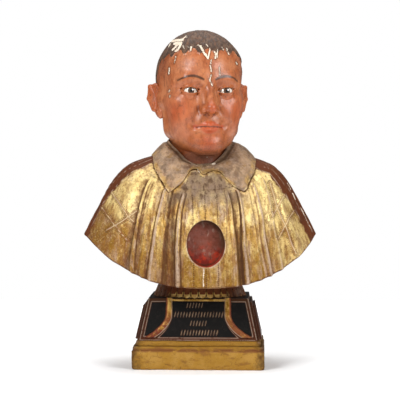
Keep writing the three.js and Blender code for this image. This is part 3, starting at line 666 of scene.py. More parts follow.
def rim_points(angle, grow, lift, s):
    """Points of the rim at angles in degrees round from the front, moved outwards and up"""
    away = np.radians(angle)
    size = s["cape_height"] / CAPE_PARTS
    height = np.where(np.abs(angle) < 90, RIM_RISE * np.abs(np.sin(away)) ** RIM_SWEEP,
                      RIM_RISE - NAPE_RISE * np.cos(away))
    return np.stack([size * (RIM_HALF[0] + grow) * np.sin(away),
                     size * (RIM_BACK - (RIM_HALF[1] + grow) * np.cos(away)),
                     SEAT + s["chin_height"] + size * (height - RIM_BELOW_CHIN) + lift], -1)


def collar_columns():
    """Rim angle, edge angle and edge height share of each column of the collar, all the way round"""
    left, right = [np.concatenate([curve(COLLAR_INNER[side], np.linspace(0, 1, 40)),
                                   curve(COLLAR_OUTER[side], np.linspace(0, 1, 80))[1:]]) for side in (-1, 1)]
    left = left[-2:0:-1] * [-1, -1, 1]
    return np.concatenate([right, left]).T


def collar_border(s):
    """The collar's edge in the front view, from one shoulder over both tips to the other"""
    _, edge_angle, edge_up = collar_columns()
    angle, up = np.roll(edge_angle, len(edge_angle) // 2), np.roll(edge_up, len(edge_angle) // 2)
    near = np.abs(angle) < 85
    points = turned(cape_points(angle[near], up[near], s, s["collar_thickness"])[0], s["torso_turn"])
    return list(zip(*front_place(points[::2])))


# Points along each stretch of the collar's section, in the order of its loop, and how far up from its
# edge the collar is worn. The first three stretches run up the neck and over the fold to the groove.
COLLAR_COUNTS = [2, 3, 2, 3, 6, 8, 4, 2, 1, 2]
COLLAR_WORN = 15


def collar_piece(s, finishes):
    """The turn-down collar: a thick band of cloth from the neck's rim out to its edge on the cape"""
    rim_angle, edge_angle, edge_up = collar_columns()
    thick = s["collar_thickness"]
    rim = rim_points(rim_angle, 0, 0, s)
    edge, _, _ = cape_points(edge_angle, edge_up, s, thick)
    fall = np.linalg.norm(rim - edge, axis=-1)
    lifted = lambda share, lift: mix(rim, edge, share) + np.stack([0 * fall, 0 * fall, lift + 0 * fall], -1)
    arch = lambda share: np.sin(np.pi * share) * fall * 0.13
    tuck = np.array([0.93, 0.93, 1])
    loop = [
        rim_points(rim_angle, 0, -18, s), rim, rim_points(rim_angle, thick * 0.4, thick, s),
        lifted(0.15, arch(0.15) - 0.5), lifted(0.3, arch(0.3) + thick * 0.5), lifted(0.6, arch(0.6)), edge,
        cape_points(edge_angle, edge_up, s, -0.5)[0], lifted(0.9, -9) * tuck, lifted(0.45, -16) * tuck,
    ]
    section = np.stack([mix(a, b, k / count) for a, b, count in zip(loop, loop[1:] + loop[:1], COLLAR_COUNTS)
                        for k in range(count)], 1)
    from_groove = np.arange(section.shape[1]) - sum(COLLAR_COUNTS[:3])
    for _ in range(2):
        section = 0.5 * section + 0.25 * (np.roll(section, 1, 1) + np.roll(section, -1, 1))
    to_edge = np.linalg.norm(section - edge[:, None], axis=-1)
    section = section + (noise(section, 22, 11)[..., None] - 0.5) * [1.6, 1.6, 2.6]
    section = section + (noise(section, 9, 12)[..., None] - 0.5) * [0.5, 0.5, 0.9]
    world = turned(section, s["torso_turn"])
    marks = {
        "loss": loss_gap(world),
        "ridge": bell(to_edge, COLLAR_WORN),
        "valley": np.broadcast_to(bell(from_groove, 1.1), section.shape[:2]),
    }
    return wrap("collar", world, 2, finishes, marks, closed=True)


# Head: lumps of clay blended together. x is mirrored, -y is the face, z starts at the chin.

def egg(p, centre, radii):
    """About how far points are from an egg shape's surface, below 0 inside it"""
    q = (p - np.array(centre)) / np.array(radii)
    near = np.sqrt((q * q).sum(-1)) + 1e-6
    q = q / np.array(radii)
    return near * (near - 1) / (np.sqrt((q * q).sum(-1)) + 1e-9)


def limb(p, start, end, start_radius, end_radius):
    """How far points are from a round bar that may taper, below 0 inside it"""
    start, end = np.array(start, float), np.array(end, float)
    way = end - start
    t = np.clip((p - start) @ way / (way @ way), 0, 1)
    gap = p - start - t[:, None] * way
    return np.sqrt((gap * gap).sum(-1)) - mix(start_radius, end_radius, t)


def blended(forms, p):
    """Distance to forms added (sign 1) or carved away (sign -1), each join softened in mm"""
    far = None
    for sign, soft, form, *place in forms:
        other = sign * form(p, *place)
        if far is None:
            far = other
            continue
        h = np.clip(soft - np.abs(far - other), 0, None) / soft
        far = (np.minimum if sign > 0 else np.maximum)(far, other) - sign * h * h * soft * 0.25
    return far


# The height that the head's forms are drawn at, the middle of an eye, half the width between its
# corners, how far outside the eye's middle the opening's middle lies, and how steeply it rises outwards
HEAD_PARTS = 222
EYE_PLACE = (31.5, -74.5, 111)
LID_HALF = 14
LID_SHIFT = 0.5
LID_TILT = 0.06

UPPER_LIP = (limb, (3.5, -90.5, 52.2), (23, -80.5, 49.3), 4.6, 2.4)
LOWER_LIP = (limb, (0, -88.6, 43.6), (20.5, -80.6, 46.8), 5.6, 3)

HEAD_FORMS = [
    (1, 1, egg, (0, 6, 139), (76, 93, 83)),  # skull
    (1, 24, egg, (0, -32, 150), (60, 56, 50)),  # forehead
    (1, 22, egg, (0, -30, 84), (56, 56, 68)),  # face
    (1, 18, egg, (45, -52, 95), (19, 24, 15)),  # cheekbone
    (1, 20, limb, (52, -42, 97), (67, -4, 101), 10, 8),
    (1, 20, egg, (32, -46, 66), (29, 37, 38)),  # cheek
    (1, 28, limb, (46, -8, 46), (16, -66, 19), 13, 13),  # jaw
    (1, 26, limb, (47, -4, 48), (56, 2, 92), 13, 12),
    (1, 16, egg, (0, -71, 19), (24, 18, 18)),  # chin
    (1, 20, egg, (0, -26, 28), (42, 48, 22)),
    (1, 14, egg, (0, -62, 54), (32, 29, 30)),  # muzzle
    (-1, 22, egg, (92, -50, 128), (20, 30, 28)),  # temple
    (1, 14, limb, (8, -82, 129), (36, -75, 132), 7.5, 7),  # brow
    (1, 14, limb, (36, -75, 132), (54, -57, 126), 7, 6),
    (-1, 11, egg, (31, -99, 112), (18.5, 17, 12)),  # eye hollow
    (-1, 9, egg, (17, -99, 116), (6, 11, 9)),
    (1, 10, limb, (0, -82.5, 126), (0, -107.5, 82), 6.4, 7.6),  # nose
    (1, 9, limb, (6, -80, 108), (9, -91, 82), 7.5, 7.5),
    (1, 6, egg, (0, -107.5, 79.5), (9.2, 9.5, 8.6)),
    (1, 4, egg, (11, -96.5, 77), (6.6, 10.5, 7.2)),  # nose wing
    (1, 4, limb, (0, -107.5, 73.5), (0, -92, 70), 4, 4.4),
    (-1, 5, egg, (19.5, -91, 79), (2, 7, 6.5)),
    (-1, 2, egg, (6.2, -100.5, 69), (3, 6, 5)),  # nostril
    (1, 4, *UPPER_LIP),
    (1, 3, limb, (0, -89.8, 51.8), (4, -90, 52), 4.2, 4.4),
    (1, 4, *LOWER_LIP),
    (-1, 2.6, limb, (0, -96.5, 48.4), (25, -84.8, 47.6), 1, 1.1),  # mouth line
    (-1, 7, egg, (26, -86, 48), (2.2, 4.5, 2.4)),
    (-1, 4, limb, (0, -96.2, 67), (0, -98.2, 57.5), 1.6, 2.2),  # groove under the nose
    (-1, 11, egg, (0, -97.5, 33.5), (17, 7.5, 4.2)),  # hollow under the lip
    (-1, 14, limb, (21, -93.5, 75), (33, -84, 54), 0.8, 0.6),  # cheek crease
    (1, 4.5, egg, EYE_PLACE, (14.3, 14.3, 14.3)),  # eyelids
    (1, 14, limb, (0, 6, -20), (0, 14, 50), 50, 46),  # neck
    (1, 16, limb, (42, 20, 40), (15, -34, -20), 8, 8),
]

EAR_FORMS = [
    (1, 1, egg, (0, 3, -1), (15, 25, 5)),  # shell
    (1, 6, egg, (-5, -21, -0.5), (8.5, 11, 4.2)),  # lobe
    (-1, 3, egg, (-2, 4, 5), (12, 20, 5.2)),
    (1, 3, limb, (-8, 20, 2), (8, 24, 2.5), 3.2, 3.2),  # rim
    (1, 3, limb, (8, 24, 2.5), (15, 6, 2.5), 3.2, 3.2),
    (1, 3, limb, (15, 6, 2.5), (9, -14, 1.5), 3.2, 2.8),
    (1, 3, limb, (4, 14, 1), (7, -4, 1), 2.6, 2.6),  # inner ridge
    (1, 2, limb, (4, 14, 1), (-3, 19, 1), 2.2, 1.6),
    (-1, 3, egg, (-2.5, -3.5, 2.5), (7, 9.5, 5.5)),  # bowl
    (1, 3, egg, (-10.5, -4.5, 2), (3.5, 5, 3.2)),
    (1, 2, egg, (3, -13, 1.5), (3.5, 3, 2.6)),
    (1, 4, egg, (-7, 2, -8), (7, 20, 9)),  # root in the head
]

# Creases above and below the eyelids: height over the eye's middle, spread of the arch, distance from
# the eye's middle, half the length, half the thickness and softness
LID_CREASES = [(8.6, 18.5, 15.8, 16, 1.0, 2.5), (-8.2, 20, 15.6, 14, 0.6, 3.5)]

# Flushed spots: the middle and the reach of the cheek's, the nose's and the chin's
FLUSHED = [((44, -60, 76), 26), ((0, -114, 80), 11), ((0, -88, 18), 16)]

# The brow and the line of the mouth, seen from the front
BROW_BOW = [(x, 136.5 - 0.0155 * (x - 31) ** 2) for x in range(11, 55, 3)]
MOUTH_LINE = [(0, 48.4), (12, 48.6), (23, 47.6)]

# Degrees round the head from one hair lock to the next
LOCK_WIDTH = 20


def mirrored(p):
    """The same points, all brought to the side where x is above 0"""
    return np.stack([np.abs(p[:, 0]), p[:, 1], p[:, 2]], -1)


def degrees_round(p):
    """Degrees round from the face on either side"""
    return np.degrees(np.arctan2(np.abs(p[..., 0]), -p[..., 1]))


def hair_edge(p):
    """Height of the hair's lower edge all round: high over the brow and temples, low behind the ears"""
    away = degrees_round(p)
    lock = np.abs((away / LOCK_WIDTH) % 1 - 0.5) * 2
    edge = 181 - 10 * smooth(30, 75, away) - 66 * smooth(78, 112, away) - 35 * smooth(112, 160, away)
    return edge + 9 * (lock - 0.5) + (noise(p, 5, 21) - 0.5) * 7


def hair_share(p):
    """1 on the cropped hair and 0 on skin, with small pointed locks along the edge between"""
    return smooth(-3, 3, p[..., 2] - hair_edge(p))


def hair_strands(p):
    """Short strands that run down from the crown"""
    from_crown = p - [0, 20, 222]
    down = np.linalg.norm(from_crown, axis=-1)
    out = np.hypot(from_crown[..., 0], from_crown[..., 1]) + 1e-6
    place = np.stack([from_crown[..., 0] / out * 60, from_crown[..., 1] / out * 60, down], -1)
    return noise(place, (3.4, 3.4, 15), 22) + 0.5 * noise(place, (2.0, 2.0, 9), 23) - 0.75


def lid_arch(u, side):
    """Upper and lower edge of the almond opening between the lids, above the eye's middle"""
    arch = np.clip(1 - (u / LID_HALF) ** 2, 0, 1)
    tilt = LID_TILT * u * side
    return 5.2 * arch ** 0.8 + tilt, -4 * arch ** 0.9 + tilt


def head_distance(p, hair_rise):
    """About how far points are from the head's surface, below 0 inside it"""
    half_head = mirrored(p)
    far = blended(HEAD_FORMS, half_head)
    e = half_head - np.array(EYE_PLACE)
    ball = np.sqrt((e * e).sum(-1))
    u = e[:, 0] - LID_SHIFT
    for height, spread, off, half, thick, soft in LID_CREASES:
        line = height * (1 - (u / spread) ** 2) + LID_TILT * u
        groove = np.maximum(np.hypot(e[:, 2] - line, ball - off) - thick, np.abs(u) - half)
        h = np.clip(soft - np.abs(far + groove), 0, None) / soft
        far = np.maximum(far, -groove) + h * h * soft * 0.25
    hair = hair_share(p)
    return far - hair * (hair_rise + hair_strands(p) * 1.3) - (noise(p, 13, 24) - 0.5) * 0.5


def cast_inward(distance, centre, ways, start):
    """The first surface met by each ray that runs inward to a centre"""
    reach = np.full(len(ways), float(start))
    live = np.arange(len(ways))
    for _ in range(110):
        gap = distance(centre + ways[live] * reach[live, None])
        reach[live] = np.maximum(reach[live] - 0.8 * gap, 1)
        live = live[(np.abs(gap) > 0.01) & (reach[live] > 1)]
        if not len(live):
            break
    return centre + ways * reach[:, None]


def cast_rings(distance, centre, turns, tilts, start):
    """Rings of points on a form, where rays from all round meet it"""
    t, e = np.meshgrid(np.radians(turns), np.radians(tilts))
    ways = np.stack([np.sin(t) * np.cos(e), -np.cos(t) * np.cos(e), np.sin(e)], -1).reshape(-1, 3)
    rings = cast_inward(distance, np.array(centre, float), ways, start).reshape(len(tilts), len(turns), 3)
    rings[0], rings[-1] = rings[0].mean(0), rings[-1].mean(0)
    return rings


def placed_head(points, s):
    """From the head's own place to its place on the bust"""
    points = turned(points * (s["head_height"] / HEAD_PARTS), s["head_turn"] + s["torso_turn"])
    return points + [0, 0, SEAT + s["chin_height"]]


def head_piece(s, finishes):
    """Head and neck, with the marks that its paint needs"""
    t = np.linspace(-1, 1, 241)[:-1]
    turns = 180 * np.sign(t) * mix(np.abs(t), np.abs(t) ** 2, 0.62)
    tilts = np.interp(np.linspace(0, 1, 164), [0, 0.05, 0.12, 0.8, 0.92, 1], [-90, -62, -45, 33, 60, 90])
    rings = cast_rings(lambda p: head_distance(p, s["hair_rise"]), (0, -2, 112), turns, tilts, 190)
    flat = rings.reshape(-1, 3)
    half_head = mirrored(flat)
    across, height = half_head[:, 0], half_head[:, 2]
    facing = flat[:, 1] < -40
    lips = np.minimum(*[form(half_head, *place) for form, *place in (UPPER_LIP, LOWER_LIP)])
    brow = line_gap(across, height, BROW_BOW) + 0.05 * np.abs(across - 26)
    mouth = line_gap(across, height, MOUTH_LINE)
    u = across - EYE_PLACE[0] - LID_SHIFT
    upper, _ = lid_arch(u, 1)
    lash = np.abs(height - EYE_PLACE[2] - upper) + 6 * smooth(9.5, 13.5, np.abs(u))
    # Painted brows and lid lines, and a dark line along the mouth's groove that is painted shade
    drawn = [smooth(4.8, 1.2, brow) * 0.8, smooth(1.7, 0.6, lash), 0.8 * smooth(1.7, 0.5, mouth)]
    flush = sum(np.exp(-(((half_head - np.array(spot)) / reach) ** 2).sum(-1)) for spot, reach in FLUSHED)
    stubble = smooth(-75, 4, height - hair_edge(flat)) * smooth(38, 70, degrees_round(flat))
    marks = {
        "hair": hair_share(flat),
        "lip": smooth(2.5, 1.2, lips) * facing,
        "brow": np.maximum.reduce(drawn) * facing,
        # Stubble at the temples, and a darkening low on the face that is both beard tint and painted shade
        "dust": np.maximum(stubble, 0.75 * smooth(44, 4, height)),
        # A painted shadow on the neck below the chin
        "valley": smooth(14, -4, height),
        "flush": np.clip(flush, 0, 1),
        "loss": loss_gap(placed_head(flat, s)),
    }
    marks = {key: value.reshape(rings.shape[:2]) for key, value in marks.items()}
    return wrap("head", placed_head(rings, s), 0, finishes, marks)


# An ear's place on the head, its size, its lean back and its turn out from the head, in degrees
EAR_PLACE = (78, 10, 99)
EAR_SIZE = 1.12
EAR_LEAN = -12
EAR_TURN = -30


def ear_piece(s, side, finishes):
    """One ear, sunk into the side of the head"""
    turns = np.linspace(0, 360, 65)[:-1]
    tilts = np.linspace(-90, 90, 44)
    own = lambda p: blended(EAR_FORMS, np.stack([p[:, 0], p[:, 2], -p[:, 1]], -1))
    p = turned(cast_rings(own, (0, 0, 2), turns, tilts, 45), 90)
    lean = math.radians(EAR_LEAN)
    p = np.stack([p[..., 0], p[..., 1] * math.cos(lean) - p[..., 2] * math.sin(lean),
                  p[..., 1] * math.sin(lean) + p[..., 2] * math.cos(lean)], -1)
    p = (turned(p, EAR_TURN) * EAR_SIZE + EAR_PLACE) * [side, 1, 1]
    return wrap("ear", placed_head(p, s), 0, finishes, {"flush": np.full(p.shape[:2], 0.35)})


def eye_rings(side, radius, s):
    """A ball round the eye's place, its poles to the front and back"""
    polar = np.radians(np.concatenate([np.linspace(0, 40, 22), np.linspace(40, 180, 22)[1:]]))
    around = np.radians(np.linspace(0, 360, 49)[:-1])
    polar, around = np.meshgrid(polar, around, indexing="ij")
    r = radius / (s["head_height"] / HEAD_PARTS)
    ball = np.stack([np.sin(polar) * np.cos(around), -np.cos(polar), np.sin(polar) * np.sin(around)], -1) * r
    return placed_head(ball + np.array(EYE_PLACE) * [side, 1, 1], s)


def lid_cut(s, side, finishes):
    """The almond opening between the lids, as a solid to take away"""
    u = np.linspace(-LID_HALF, LID_HALF, 40)
    upper, lower = lid_arch(u, side)
    outline = np.concatenate([np.stack([u, lower], -1), np.stack([u, upper], -1)[-2:0:-1]])
    x, z = outline[:, 0] + side * (EYE_PLACE[0] + LID_SHIFT), outline[:, 1] + EYE_PLACE[2]
    rings = [np.stack([x, np.full(len(x), EYE_PLACE[1] - 6 - depth), z], -1) for depth in (0, 10, 20, 30)]
    return wrap("lids", placed_head(capped(rings), s), 0, finishes)


# Rings of the recess's floor as shares of the way in from its wall, and rings of the wall in mm in
# front of the floor
FLOOR_RINGS = (0.99, 0.8, 0.6, 0.4, 0.25, 0.12)
WALL_RINGS = (7, 11, 15, 19, 23, 27, 40, 52)


def recess_cut(s, finishes):
    """The oval relic recess, as a solid to take away: its floor is flat and a little rough"""
    around = np.radians(np.linspace(0, 360, 121)[:-1])
    width, height = s["recess_width"] / 2, s["recess_height"] / 2
    floor = -cape_points(0, 0.35, s)[0][1] - s["recess_depth"]
    levels = [(floor, -width * share) for share in FLOOR_RINGS]
    levels += [(floor, -3), (floor + 0.9, -1.2), (floor + 3, 0)]
    levels += [(floor + ahead, 0) for ahead in WALL_RINGS]
    rings = []
    for y, grow in levels:
        size = 1 + grow / width
        rings.append(np.stack([width * size * np.cos(around), np.full(len(around), -y),
                               SEAT + s["recess_place"] + height * size * np.sin(around)], -1))
    rings = np.stack(rings)
    rough = (noise(rings, 9, 31) - 0.5) * 1.2 + (noise(rings, 4, 32) - 0.5) * 0.5
    wall = len(FLOOR_RINGS) + 1
    rings[:wall, :, 1] += rough[:wall]
    rings[wall:, :, 0] += (rough[wall:] * 0.5) * np.cos(around)
    rings[wall:, :, 2] += (rough[wall:] * 0.5) * np.sin(around)
    return wrap("recess", turned(capped(rings), s["torso_turn"]), 3, finishes)


# Plinth

# Rows of brushed strokes: the middle of each row, its height on the face and its number of strokes
STROKE_ROWS = [(-6.6, 60.9, 6), (0.5, 45, 17), (0, 29.9, 6), (2, 13.9, 13)]
STROKE_STEP = 5.2
STROKE_HEIGHT = 9.6
STROKE_LEAN = 0.22
STROKE_RISE = 0.45

# Where the black paint stops over the face's foot and under its top, on the panel and on its wings, and
# a scratch in it
PANEL_FOOT, PANEL_TOP = 6.5, 5
WING_FOOT, WING_TOP = 9, 8
SCRATCH = [(41, 28), (44, 21), (48, 14)]

# The share of the face's height where the bands begin to flare, and the rings and the section of one
FLARE_START = 0.6
BAND_RINGS = 60
BAND_SECTION = [(v, 1 - 0.75 * v ** 4) for v in np.linspace(-1, 1, 13)] + [(1, -0.6), (-1, -0.6)]

# How far a leaf stands out, and the points across one
LEAF_BULGE = 5
LEAF_POINTS = 12


def rounded_rectangle(width, depth, corner, turns=7):
    """An outline seen from above, with a number of points on each corner"""
    points = []
    for quarter, (sx, sy) in enumerate([(1, 1), (-1, 1), (-1, -1), (1, -1)]):
        angle = np.radians(np.linspace(quarter * 90, quarter * 90 + 90, turns))
        points.append(np.stack([sx * (width / 2 - corner) + corner * np.cos(angle),
                                sy * (depth / 2 - corner) + corner * np.sin(angle)], -1))
    return np.concatenate(points)


def refined(outline, step):
    """The same outline with its long edges divided into parts of about step mm"""
    parts = []
    for a, b in zip(outline, np.roll(outline, -1, 0)):
        count = max(1, round(float(np.linalg.norm(b - a)) / step))
        parts.append(a + (b - a) * np.arange(count)[:, None] / count)
    return np.concatenate(parts)


def inset(outline, by):
    """The outline drawn in by a distance, its corners mitred"""
    ahead = np.roll(outline, -1, 0) - outline
    ahead = ahead / np.linalg.norm(ahead, axis=1, keepdims=True)
    inward = np.stack([-ahead[:, 1], ahead[:, 0]], 1)
    before = np.roll(inward, 1, 0)
    return outline + (inward + before) / (1 + (inward * before).sum(1, keepdims=True)) * by


def stacked(outline, levels):
    """Closed rings of an outline at each level of inset and height"""
    return capped([np.column_stack([inset(outline, by), np.full(len(outline), z)]) for by, z in levels])


def worn(rings, amount, size, seed, first=0, last=0):
    """Rings made a little uneven, as carved and knocked wood is, but for some at the start and the end"""
    shift = np.stack([noise(rings, size, seed + k) - 0.5 for k in range(3)], -1) * amount
    shift[:first] = 0
    shift[len(rings) - last:] = 0
    return rings + shift


def board_rings(width, depth, base, height, s):
    """A board with round corners and rounded edges, its underside left flat"""
    wear = s["edge_wear"]
    top = base + height
    outline = refined(rounded_rectangle(width, depth, s["slab_corner"]), 4)
    middle = np.linspace(base + wear * 1.8, top - wear, max(2, round(height / 4)))
    levels = [(wear * 1.4, base), (wear * 0.6, base + wear * 0.3), (wear * 0.15, base + wear)]
    levels += [(0, z) for z in middle]
    levels += [(wear * by, top - wear * down)
               for by, down in ((0.08, 0.6), (0.3, 0.3), (0.6, 0.08), (1, 0))]
    return worn(stacked(outline, levels), 1.6, 15, 51, 2, 1)


class Slope:
    """The block's sloping faces: places on them from x, distance up the slope and height off it"""

    def __init__(self, s):
        self.base = s["slab_height"] + s["lower_step"] + s["upper_step"]
        self.top = self.base + s["block_height"]
        self.half = s["foot_width"] / 2
        self.half_depth = (s["foot_width"] - (s["slab_width"] - s["slab_depth"])) / 2
        self.lean = (s["foot_width"] - s["top_width"]) / 2
        self.angle = math.atan2(self.lean, s["block_height"])
        self.length = math.hypot(self.lean, s["block_height"])

    def place(self, x, up, off, turn_by=0):
        """Points of the front face, or of another one a turn away"""
        away = self.half_depth if turn_by in (0, 180) else self.half
        c, n = math.cos(self.angle), math.sin(self.angle)
        x, up, off = np.broadcast_arrays(*[np.asarray(v, float) for v in (x, up, off)])
        return turned(np.stack([x, -away + up * n - off * c, self.base + up * c + off * n], -1), turn_by)

    def outline(self, half, margin):
        """The outline of a face that is half wide at its foot, drawn in by a margin"""
        foot = half - margin
        top = foot - self.lean
        high = self.length - margin
        return np.array([[-foot, 0], [foot, 0], [top, high], [-top, high]], float)

    def plate(self, outline, rise, turn_by, wear=1.0):
        """Rings of a plate on a face, its edges a little worn"""
        levels = [(0, -4), (0, rise * 0.5), (0, rise - wear), (wear * 0.3, rise - wear * 0.3), (wear, rise)]
        return self.place(*np.moveaxis(stacked(refined(outline, 4), levels), -1, 0), turn_by)


def band_edges(up, s):
    """Inner and outer edge of a scroll band at a share of the way up the face"""
    down = np.clip((FLARE_START - up) / FLARE_START, 0, 1)
    middle = s["band_offset"] + s["band_flare"] * down * down
    lean = -2 * s["band_flare"] * down / FLARE_START / Slope(s).length
    half = s["band_width"] / 2 * np.hypot(1, lean)
    return middle - half, middle + half


def block_piece(s, finishes):
    """The sloping block; its marks say where the front is painted black and where the thin lines run"""
    slope = Slope(s)
    foot = refined(rounded_rectangle(2 * slope.half, 2 * slope.half_depth, 1.5, 4), 1.6)
    shrink = np.array([slope.lean / slope.half, slope.lean / slope.half_depth])
    rings = [np.column_stack([foot, np.full(len(foot), slope.base - s["edge_wear"])])]
    rings += [np.column_stack([foot * (1 - shrink * t), np.full(len(foot), mix(slope.base, slope.top, t))])
              for t in np.linspace(0, 1, 46)]
    rings = capped(rings)
    tall = s["block_height"]
    x, z = np.abs(rings[..., 0]), rings[..., 2] - slope.base
    share = np.clip(z / tall, 0, 1)
    inner, outer = band_edges(share, s)
    side = slope.half - slope.lean * share
    front = rings[..., 1] < -(slope.half_depth - slope.lean * share) + 1
    front[0] = front[-1] = False
    panel = np.minimum.reduce([inner - x, z - PANEL_FOOT, tall - PANEL_TOP - z])
    wing = np.minimum.reduce([side - s["panel_margin"] - x, x - outer, tall - WING_TOP - z, z - WING_FOOT])
    marks = {
        "black": np.where(share > 0.985, 10, np.where(front, np.maximum(panel, wing), -60)),
        "frame": np.where(front, np.minimum(side - x, z), 60),
        "loss": np.where(front, line_gap(rings[..., 0], z, SCRATCH) - 0.25, 60),
    }
    return wrap("block", worn(rings, 0.35, 20, 61), 1, finishes, marks)


def band_piece(side, s, finishes):
    """A rounded gilt band that runs up the face and flares at its foot"""
    slope = Slope(s)
    share = np.linspace(0, 1, BAND_RINGS)
    inner, outer = band_edges(share, s)
    up = mix(s["band_width"] / 2, slope.length - 0.5, share)
    rings = np.stack([slope.place(side * (inner + (outer - inner) * (v + 1) / 2), up, h * s["band_rise"])
                      for v, h in BAND_SECTION], 1)
    rings = worn(capped(rings), 0.7, 8, 71, 1, 1)
    across = np.tile([v for v, _ in BAND_SECTION], (len(rings), 1))
    return wrap("band", rings, 2, finishes, {"band": across, "step": np.full(across.shape, float(side))})


def leaf_ring(z, leaf_top, s, inward):
    """A ring round the leaf collar at a height, and how near each point is to a leaf's gilt tip"""
    count = s["leaf_count"] * LEAF_POINTS
    angle = np.arange(count) / count * 2 * np.pi
    across = (np.arange(count) % LEAF_POINTS) / (LEAF_POINTS / 2) - 1
    below = float(np.clip((leaf_top - z) / (leaf_top - Slope(s).top + 1), 0, 1))
    half_width = math.sqrt(max(1 - below ** 4, 0.02))
    crown = np.sqrt(np.clip(1 - (across / half_width) ** 2, 0, None))
    rib = 0.7 * bell(across, 0.12) * below
    out = crown * LEAF_BULGE * mix(0.4, 0.7, below) + LEAF_BULGE * 1.3 * below - inward + rib * (crown > 0)
    ring = np.stack([(s["leaf_width"] / 2 - LEAF_BULGE + out) * np.cos(angle),
                     (s["leaf_depth"] / 2 - LEAF_BULGE + out) * np.sin(angle), np.full(count, z)], -1)
    edge = smooth(0.75, 0.35, crown) * (crown > 0) * smooth(0.3, 0.6, below)
    return ring, np.maximum(smooth(0.55, 0.85, below), edge)


def leaf_piece(s, finishes):
    """Round-ended leaves side by side round the collar under the bust, their tips gilt"""
    top = Slope(s).top
    leaf_top = top + s["leaf_height"] * 0.75
    levels = [(z, 0) for z in np.linspace(top - 0.5, leaf_top, 26)]
    levels += [(z, 0) for z in np.linspace(leaf_top, SEAT - 2.5, 8)[1:]] + [(SEAT - 1, 0.6), (SEAT, 2.5)]
    rings, tips = zip(*[leaf_ring(z, leaf_top, s, inward) for z, inward in levels])
    tips = np.stack([tips[0], *tips, tips[-1]])
    return wrap("leaves", worn(capped(rings), 0.9, 7, 81, 1, 2), 3, finishes, {"tip": tips})


def stroke_piece(x, up, dice, s, finishes):
    """One shallow leaning stroke of dull gold paint"""
    slope = Slope(s)
    tall = STROKE_HEIGHT * dice.uniform(0.94, 1.0)
    thick = dice.uniform(0.7, 0.85)
    rings = []
    for t in np.linspace(-0.5, 0.5, 7):
        wide = thick * math.sqrt(max(1 - (2 * t) ** 4, 0.15))
        middle = x + STROKE_LEAN * t * tall
        section = [(-wide, -0.8), (wide, -0.8), (wide, STROKE_RISE * 0.5), (wide * 0.6, STROKE_RISE),
                   (-wide * 0.6, STROKE_RISE), (-wide, STROKE_RISE * 0.5)]
        rings.append(np.stack([slope.place(middle + dx, up + t * tall, off) for dx, off in section]))
    return wrap("stroke", capped(rings), 4, finishes)


# Finishes

def per(mm):
    """Texture scale for a pattern whose lumps are this many mm across"""
    return 1 / (mm * MM)


class Finish:
    """The nodes of one material or world"""

    def __init__(self, owner):
        owner.use_nodes = True
        self.owner = owner
        self.tree = owner.node_tree

    def add(self, kind, *inputs, out=0, **settings):
        """Adds a node with its settings and its inputs, in order or by name, and gives back one output"""
        node = self.tree.nodes.new("ShaderNode" + kind)
        for key, value in settings.items():
            setattr(node, key, value)
        named = inputs[0] if inputs and isinstance(inputs[0], dict) else dict(enumerate(inputs))
        for key, value in named.items():
            socket = node.inputs[key]
            if isinstance(value, bpy.types.NodeSocket):
                self.tree.links.new(value, socket)
            else:
                socket.default_value = (*value, 1) if socket.type == "RGBA" else value
        return node.outputs[out] if node.outputs else node

    def ragged(self, mark, low, high, lumps, amount):
        """1 where a mark's value is past high and 0 before low, its edge made uneven by lumps in mm"""
        value = self.add("Attribute", out=2, attribute_name=mark)
        grain = self.add("TexNoise", {
            "Vector": self.place, "Scale": per(lumps), "Detail": 4, "Roughness": 0.65,
        })
        moved = self.add("Math", grain, amount * 2, value, operation="MULTIPLY_ADD")
        return self.add("MapRange", moved, low + amount, high + amount, interpolation_type="SMOOTHSTEP")

    def speckle(self, lumps, low, high, stretch=(1, 1, 1)):
        """1 in the lumps of a noise that are past high and 0 in those before low. Real pits, flecks and
        strands are under 1 mm, too fine to show, so they are drawn 1 to 5 mm across."""
        where = self.add("Mapping", {"Vector": self.place, "Scale": stretch})
        grain = self.add("TexNoise", {
            "Vector": where, "Scale": per(lumps), "Detail": 5, "Roughness": 0.62,
        })
        return self.add("MapRange", grain, low, high, interpolation_type="SMOOTHSTEP")

    def chain(self, operation, first, *others):
        """Several masks added, multiplied or compared in turn"""
        for other in others:
            first = self.add("Math", first, other, operation=operation)
        return first

    def times(self, *masks):
        """1 only where every mask is 1"""
        return self.chain("MULTIPLY", *masks)

    def coats(self, ground, layers):
        """Lays coats of colour over a ground, each as far as its mask and its strength allow"""
        for mask, strength, over in layers:
            share = mask if strength == 1 else self.times(mask, strength)
            ground = self.add("Mix", {0: share, 6: ground, 7: over}, out=2, data_type="RGBA")
        return ground

    def done(self, colour, rough, height, depth_mm, shine=0.5, metal=0):
        """Joins the coats, gloss and fine relief to the surface, and gives back the material"""
        normal = self.add("Bump", {"Height": height, "Distance": depth_mm * MM, "Strength": 1})
        self.add("OutputMaterial", self.add("BsdfPrincipled", {
            "Base Color": colour, "Roughness": rough, "Metallic": metal, "Specular IOR Level": shine,
            "Normal": normal,
        }))
        return self.owner


def start(name):
    """An empty material and the place in the object that its patterns read"""
    f = Finish(bpy.data.materials.new(name))
    f.tree.nodes.clear()
    f.place = f.add("TexCoord", out=3)
    return f


